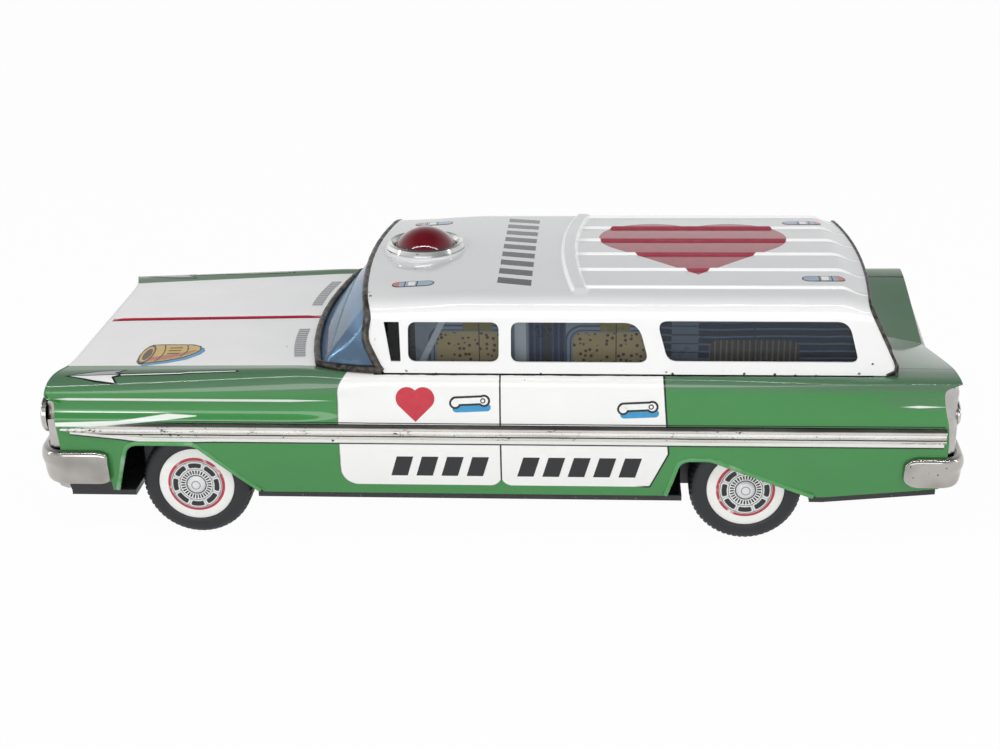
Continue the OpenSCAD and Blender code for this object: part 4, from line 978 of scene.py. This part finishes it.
# Windscreen and its frame
ts = np.linspace(-0.985, 0.985, 97)
rows = []
for t in ts:
    a, b = (screen_at(t, *where) + 0.9 * screen_normal(t) for where in ((1.8, False), (1.1, True)))
    rows.append([mix(a, b, s) for s in np.linspace(0, 1, 8)])
new_object("screen_pane", *shell(np.array(rows), -0.6), screen_blue, slot="clear_pane", replaces=("windscreen",))
path = [screen_at(t, 1.1, False) for t in ts] + [screen_at(t, 1.1, True) for t in ts[::-1]]
uneven = np.random.default_rng(7).random(len(path))
radii = 1.1 + 0.06 * np.sin(np.arange(len(path)) * 0.9) * uneven
tubes("screen_frame", [(path, radii, True)], dark_frame, "dark_frame", 60, 10, ("windscreen_frame",))


# Bumpers
BUMPER_SECTION = np.array([(0, 0.5), (0.72, 0.48), (1, 0.3), (1, 0.12), (0.74, 0.0), (0.66, -0.25), (0.42, -0.48),
                           (0, -0.5)])


def bumper(name, node, end_x, sign, z, reach, wrap, corner, bow, height, end_size, end_length):
    """Section swept along one side, round the end and along the other side; its ends are rounded off."""
    y0 = HALF_W + 0.2
    cx, cy = reach - bow - corner, y0 - corner
    half = [(mix(-wrap, cx - 1, (k / 16) ** 1.6), y0) for k in range(17)]
    half += [(cx + corner * math.sin(a), cy + corner * math.cos(a)) for a in np.linspace(0, math.pi / 2, 12)]
    half += [(reach - bow * t * t, cy * t) for t in 1 - np.linspace(0, 1, 24)[1:]]
    path = np.array(half + [(x, -y) for x, y in half[-2::-1]])
    d = np.gradient(path, axis=0)
    d /= np.linalg.norm(d, axis=1, keepdims=True)
    out = np.stack([-d[:, 1], d[:, 0]], 1)
    keys = BUMPER_SECTION
    section = [keys[0]]
    for i in range(1, len(keys) - 1):
        a, b = (keys[i - 1] + keys[i]) / 2, (keys[i] + keys[i + 1]) / 2
        section += [a] + curve(a, keys[i], b, 4)
    section += [keys[-1], (0.0, -0.2), (0.0, 0.2)]
    length = lengths_along(path)
    verts = []
    for p, o, s in zip(path, out, np.minimum(length, length[-1] - length)):
        k = end_size + (1 - end_size) * math.sqrt(1 - (1 - min(1, s / end_length)) ** 2)
        dent = 0.1 * math.sin(p[1] * 0.23 + p[0] * 0.3) * math.sin(p[1] * 0.071)
        for q in section:
            r = p + o * (q[0] * 2.0 * k + (dent if q[0] > 0.5 else 0))
            verts.append((end_x + sign * r[0], r[1], z + q[1] * height * k))
    m = len(section)
    faces = grid_faces(len(path), m, wrap_cols=True)
    faces += [tuple(range(m)), tuple(range(len(verts) - m, len(verts)))]
    new_object(name, verts, faces, plated, slot="plated", angle=50, replaces=(node,))


bumper("front_bumper_skin", "front_bumper", NOSE_X, -1, 22.0, 6.5, 14.5, 7, 1.6, 10.5, 0.7, 3.5)
bumper("rear_bumper_skin", "rear_bumper", TAIL_X, 1, 22.8, 4.5, 11.6, 5, 0.8, 9.24, 0.35, 4.6)


# Wheels
def tread(r, h, a):
    """Cuts zigzag grooves into the outer part of a tyre."""
    outer = np.clip((r - 15.0) / 0.7, 0, 1)
    zig = np.abs((a * 60 / (2 * math.pi) + 0.35 * np.abs(h - 5) / 2) % 1 - 0.5) * 2
    return r - 0.4 * outer * (zig < 0.38) * (np.abs(h - 5) > 1.2)


def tyre_profile():
    flank, tread_out, tread_in, back = (np.array(p) for p in ((12.2, -0.3), (16.0, 2.2), (16.0, 7.8), (13.8, 10)))
    pts = [np.array(p) for p in ((10.03, 10.0), (10.03, 1.0), (11.03, 1.0), (11.03, 0.05), (11.5, -0.25))]
    pts += [flank] + curve(flank, np.array((15.7, 0)), tread_out, 12) + line(tread_out, tread_in, 10)
    return pts + curve(tread_in, np.array((16.0, 10)), back, 8)


DISC_PROFILE = [(0.01, -1.0), (1.4, -0.97), (2.1, -0.88), (2.4, -0.6), (2.65, -0.32), (3.2, -0.34), (4.6, -0.45),
                (6.2, -0.58), (6.7, -0.57), (7.3, -0.4), (7.9, -0.18), (8.4, -0.12), (9.6, -0.1), (10.6, -0.04),
                (10.95, 0.12), (11.0, 0.98), (10.0, 0.98), (10.0, 9.5), (9.0, 9.5), (9.0, 2.0), (2.8, 2.0),
                (2.8, 9.5), (1.22, 9.5), (1.22, 1.0), (0.01, 1.0)]
for end, axle_x in AXLES_X.items():
    disc_print = disc_material(f"{end}_disc_print", axle_x)
    for word, side in NAMED_SIDES:
        def place(a, h, b):
            return np.stack([axle_x + a, side * (WHEEL_Y - h), AXLE_Z + b * -side], -1)
        new_object(f"{end}_tyre_{word}_tread", *revolve(tyre_profile(), 240, place, tread), rubber,
                   f"{end}_wheels", "tyre_rubber", 45, (f"{end}_tyre_{word}",))
        new_object(f"{end}_disc_{word}", *revolve(DISC_PROFILE, 96, place), disc_print,
                   f"{end}_wheels", "disc_print", 50, (f"{end}_hub_{word}",))


# Small prints: thin pieces laid on the pressings, in layers
def circle(x, y, r, squeeze=1.0):
    turn = np.linspace(0, 2 * math.pi, 28, endpoint=False)
    return [(x + r * math.cos(a), y + squeeze * r * math.sin(a)) for a in turn]


def capsule(x0, y0, x1, y1, r):
    a0 = math.atan2(y1 - y0, x1 - x0)
    turn = np.linspace(a0 - math.pi / 2, a0 + math.pi / 2, 12)
    return [(x + s * r * math.cos(a), y + s * r * math.sin(a)) for x, y, s in ((x1, y1, 1), (x0, y0, -1))
            for a in turn]


def flat_mesh(outline, step):
    """Points and triangles of an outline, with no edge longer than step."""
    bm = bmesh.new()
    bm.faces.new([bm.verts.new((x, y, 0)) for x, y in outline])
    bmesh.ops.triangulate(bm, faces=bm.faces)
    for _ in range(6):
        long = [e for e in bm.edges if e.calc_length() > step]
        if not long:
            break
        bmesh.ops.subdivide_edges(bm, edges=long, cuts=1)
        bmesh.ops.triangulate(bm, faces=[f for f in bm.faces if len(f.verts) > 3])
    bm.verts.index_update()
    out = np.array([v.co[:2] for v in bm.verts]), [tuple(v.index for v in f.verts) for f in bm.faces]
    bm.free()
    return out


prints = {}


def lay(colour, where, outline, layer, sides=SIDES, step=1.2):
    """Adds an outline to a colour's print. On a side its axes are X and Z, on the hood and roof X and Y;
    there a positive Y is towards the left side for side 1, and towards the right for side -1."""
    pts, faces = flat_mesh(outline, step)
    verts, tris = prints.setdefault(colour, ([], []))
    tree = roof_tree if where == "roof" else body_tree
    for side in sides:
        base = len(verts)
        outward = Vector((0, side, 0)) if where == "side" else Vector((0, 0, 1))
        for a, b in pts:
            start = Vector((a, side * 70, b)) if where == "side" else Vector((a, side * -b, 90))
            hit, normal = tree.ray_cast(start, -outward)[:2]
            normal = normal if normal.dot(outward) > 0 else -normal
            verts.append(hit + normal * (0.035 + 0.03 * layer))
        for t in faces:
            p, q, r = (verts[base + i] for i in t)
            ok = (q - p).cross(r - p).dot(outward) > 0
            tris.append(tuple(base + i for i in (t if ok else t[::-1])))


def handle(x0, z):
    """Door handle: a blue shadow, and a white bar and two ends with black edges."""
    lay("blue", "side", capsule(x0 + 1.8, z - 2.1, x0 + 10.4, z - 1.7, 1.1), 0)
    for colour, layer, start, stop, more in (("black", 1, 1.5, 9.7, 0.6), ("white", 2, 1.6, 9.6, 0.0)):
        lay(colour, "side", capsule(x0 + start, z, x0 + stop, z + 0.4, 0.8 + more), layer)
        lay(colour, "side", circle(x0 + 1.5, z - 0.5, 1.1 + more), layer)
        lay(colour, "side", circle(x0 + 9.6, z + 0.2, 1.15 + more), layer)
    lay("black", "side", circle(x0 + 9.3, z + 0.2, 0.75), 3)
    lay("white", "side", circle(x0 + 9.3, z + 0.2, 0.42), 4)


handle(-11.4, 43.0)
handle(35.6, 41.6)


def roof_lamp(x0, y, forward):
    """A small lamp picture, 12 mm long; its red nose points forward or back."""
    s = 1 if forward else -1
    mid = x0 + 6

    def band(colour, d0, d1, y0, y1, layer):
        a, b = (mid + s * (d - 6) for d in (d0, d1))
        lay(colour, "roof", [(a, y + y0), (b, y + y0), (b, y + y1), (a, y + y1)], layer)

    lay("black", "roof", capsule(x0 + 2, y, x0 + 10, y, 2.1), 1)
    glass = capsule(x0 + 2, y, x0 + 10, y, 1.75)
    lay("grey_blue", "roof", glass, 2)
    nose = [p for p in glass if (p[0] - mid) * s < -2.4]
    lay("orange", "roof", sorted(nose, key=lambda p: math.atan2(p[1] - y, p[0] - mid + s * 2.8)), 3)
    band("black", 3.5, 3.8, -1.9, 1.9, 4)
    band("white", 4.6, 6.6, -1.6, 1.4, 3)
    band("black", 7.0, 7.3, -1.9, 1.9, 4)


roof_lamp(-29, 30.8, True)
roof_lamp(87.6, 28.2, False)

# Arrow on each fender top, with the distance of its shaft from the middle
ARROW_YS = {1: 46.4, -1: 44.4}
ARROW = (("black", 1, [(-122.6, 0), (-113.2, -2.3), (-104.4, -2.8), (-107.2, -1), (-105.4, -0.5), (-105.4, 0.7),
                       (-107.8, 1.1), (-106.2, 3.2), (-113.2, 2.4)]),
         ("silver", 2, [(-121, -0.1), (-113, -1.8), (-105.8, -2.3), (-108.2, -0.8), (-106.6, -0.2)]),
         ("white", 2, [(-121, 0.1), (-106.6, 0.1), (-108.6, 0.9), (-107.2, 2.7), (-113, 1.9)]),
         ("black", 1, [(-106, -0.4), (-88, -0.3), (-86.6, -0.6), (-72.4, -0.4), (-71.6, 0.1), (-72.4, 0.6),
                       (-87, 0.6), (-88.4, 0.9), (-106, 0.7)]),
         ("white", 2, [(-106, 0), (-88, 0.1), (-86.6, -0.2), (-72.6, 0), (-72.6, 0.3), (-87, 0.3), (-88.4, 0.5),
                       (-106, 0.4)]))
for colour, layer, outline in ARROW:
    for side, middle in ARROW_YS.items():
        lay(colour, "hood", [(x, y + middle) for x, y in outline], layer, (side,))


# Horn picture on the hood's left half
def horn(colour, outline, layer, step=1.2):
    lay(colour, "hood", outline, layer, (1,), step)


HORN = [(-104.8, 31), (-104.4, 26), (-102.8, 22.6), (-100.5, 22.4), (-90.5, 22.9), (-87.8, 24.4), (-87, 27),
        (-87.8, 29.6), (-91, 33.5), (-96, 36.2), (-101, 37.8), (-103, 38.6), (-104.4, 36)]
horn("blue", [(x + 1.3, y + 1.6) for x, y in HORN], 0, 2)
horn("black", HORN, 1, 2)
horn("gold", [(mix(x, -96, 0.05), mix(y, 30.2, 0.1)) for x, y in HORN], 2, 2)
horn("rust", [(-101.4, 36.2), (-96.4, 34.9), (-91.8, 32.4), (-88.6, 28.6), (-88.4, 27.4), (-92.6, 29.8),
              (-101.4, 33)], 3)
horn("black", circle(-102.6, 30.6, 2.0, 3.7), 4)
horn("gold", circle(-102.6, 30.6, 1.65, 3.7), 5)
horn("brown", circle(-102.4, 30.8, 1.15, 3.9), 6)
for x, y0, y1 in ((-98.9, 23.2, 36.6), (-92.2, 23.4, 32.6)):
    bow = [(x + 1.1 * math.sin(math.pi * t), mix(y0, y1, t)) for t in np.linspace(0, 1, 9)]
    horn("black", [(a - 0.16, b) for a, b in bow] + [(a + 0.16, b) for a, b in bow[::-1]], 4)
for y in (25.4, 27.6, 29.8):
    horn("brown", [(-96.8, y), (-93, y + 0.1), (-93, y + 0.7), (-96.8, y + 0.6)], 4)

# Louvres in front of the windscreen
for k in range(26):
    y = 11 + k * 0.92
    x = mix(-60.6, -58.0, ((y - 10) / 24) ** 2)
    outline = [(x, y), (x + 3.3, y), (x + 3.3, y + 0.9), (x, y + 0.9)]
    lay("louvre_grey" if k % 2 else "louvre_dark", "hood", outline, 1, step=2)

INKS = {"black": ((24, 25, 28), (44, 45, 48)), "white": ((232, 232, 230), (246, 246, 244)),
        "blue": ((38, 132, 186), (70, 160, 205)), "grey_blue": ((128, 150, 176), (166, 184, 202)),
        "orange": ((186, 92, 72), (206, 124, 100)), "silver": ((150, 154, 158), (196, 198, 200)),
        "gold": ((196, 158, 74), (222, 190, 104)), "brown": ((70, 44, 36), (98, 66, 52)),
        "rust": ((172, 96, 72), (196, 126, 92)), "louvre_grey": ((170, 172, 174), (190, 192, 194)),
        "louvre_dark": ((120, 122, 126), (142, 144, 148))}
for colour, (verts, faces) in prints.items():
    slot = "roof_print" if colour in ("grey_blue", "orange") else "body_print"
    material = ink(f"ink_{colour}", *(srgb(*c) for c in INKS[colour]))
    new_object(f"print_{colour}", verts, faces, material, slot=slot, angle=60, closed=False)


# Stage: floor, world, lights and camera
def seen(tree):
    """1 for rays from the camera, mirrors and glass."""
    rays = tree.node("LightPath").outputs
    return tree.any(*[Value(tree, rays[f"Is {kind} Ray"]) for kind in ("Camera", "Glossy", "Transmission")])


def floor_material():
    """White to the camera and in reflections, with a share of matt floor that keeps the shadow."""
    material = bpy.data.materials.new("floor")
    material.use_nodes = True
    t = Tree(material.node_tree)
    t.tree.nodes.clear()
    matt, glow = t.node("BsdfDiffuse", {"Color": (0.92, 0.92, 0.92)}), t.node("Emission")
    both = t.node("MixShader", {0: seen(t) * 0.97, 1: matt.outputs[0], 2: glow.outputs[0]})
    t.node("OutputMaterial", {"Surface": both.outputs[0]})
    return material


FLOOR_HALF, FLOOR_Z = 4, -0.0002
mesh = bpy.data.meshes.new("floor")
corners = [(x * FLOOR_HALF, y * FLOOR_HALF, FLOOR_Z) for x, y in ((-1, -1), (1, -1), (1, 1), (-1, 1))]
mesh.from_pydata(corners, [], [(0, 1, 2, 3)])
mesh.materials.append(floor_material())
floor = bpy.data.objects.new("floor", mesh)
bpy.context.scene.collection.objects.link(floor)

# The sky gets darker upward, and its low part looks white
SKY = ((0.0, (0.82, 0.82, 0.82)), (0.4, (0.74, 0.74, 0.74)), (0.9, (0.1, 0.105, 0.11)))
world = bpy.data.worlds.new("studio")
bpy.context.scene.world = world
world.use_nodes = True
sky = Tree(world.node_tree)
height = sky.node("SeparateXYZ", {0: sky.node("TexCoord").outputs["Generated"]}).outputs["Z"]
shade = sky.node("ValToRGB", {0: height})
shade.color_ramp.elements.new(0.4)
for element, (position, colour) in zip(shade.color_ramp.elements, SKY):
    element.position, element.color = position, (*colour, 1)
low = sky.fit(height, 0.2, 0.4, 1, 0)
white = sky.blend(low * seen(sky), shade.outputs[0], (1.0, 1.0, 1.0))
sky.put(world.node_tree.nodes["Background"].inputs["Color"], white)


def light(name, place, target, size, power):
    data = bpy.data.lights.new(name, "AREA")
    data.shape, data.size, data.size_y, data.energy = "RECTANGLE", size[0], size[1], power
    obj = bpy.data.objects.new(name, data)
    bpy.context.scene.collection.objects.link(obj)
    obj.location = place
    obj.rotation_euler = (Vector(target) - Vector(place)).to_track_quat("-Z", "Y").to_euler()


light("key", (-0.1, -0.95, 0.36), (0, 0, 0.04), (0.9, 0.3), 2.7)
light("strip", (0.0, -0.34, 0.72), (0, 0, 0.03), (1.3, 0.014), 2.3)
light("left_side", (-0.9, -0.15, 0.35), (0, 0, 0.05), (0.05, 0.5), 0.5)
light("right_side", (0.9, -0.15, 0.35), (0, 0, 0.05), (0.05, 0.5), 0.5)

# Camera fitted to the photograph, whose frame is 1000 by 750
FOCAL_PX, FRAME_PX, SENSOR = 1620.54, 1000, 36
EYE, TARGET, ROLL = Vector((31.456, -469.662, 215.851)), Vector((-0.642, 0, 30.825)), math.radians(-1.0846)
data = bpy.data.cameras.new("camera")
data.sensor_fit, data.sensor_width, data.lens = "HORIZONTAL", SENSOR, FOCAL_PX * SENSOR / FRAME_PX
data.clip_start, data.clip_end = 0.01, 20
camera = bpy.data.objects.new("camera", data)
bpy.context.scene.collection.objects.link(camera)
ahead = (TARGET - EYE).normalized()
right = ahead.cross(Vector((0, 0, 1))).normalized()
up = right.cross(ahead)
right, up = math.cos(ROLL) * right + math.sin(ROLL) * up, math.cos(ROLL) * up - math.sin(ROLL) * right
camera.matrix_world = Matrix.Translation(EYE * MM) @ Matrix((right, up, -ahead)).transposed().to_4x4()
bpy.context.scene.camera = camera
bpy.context.scene.view_settings.view_transform = "Standard"
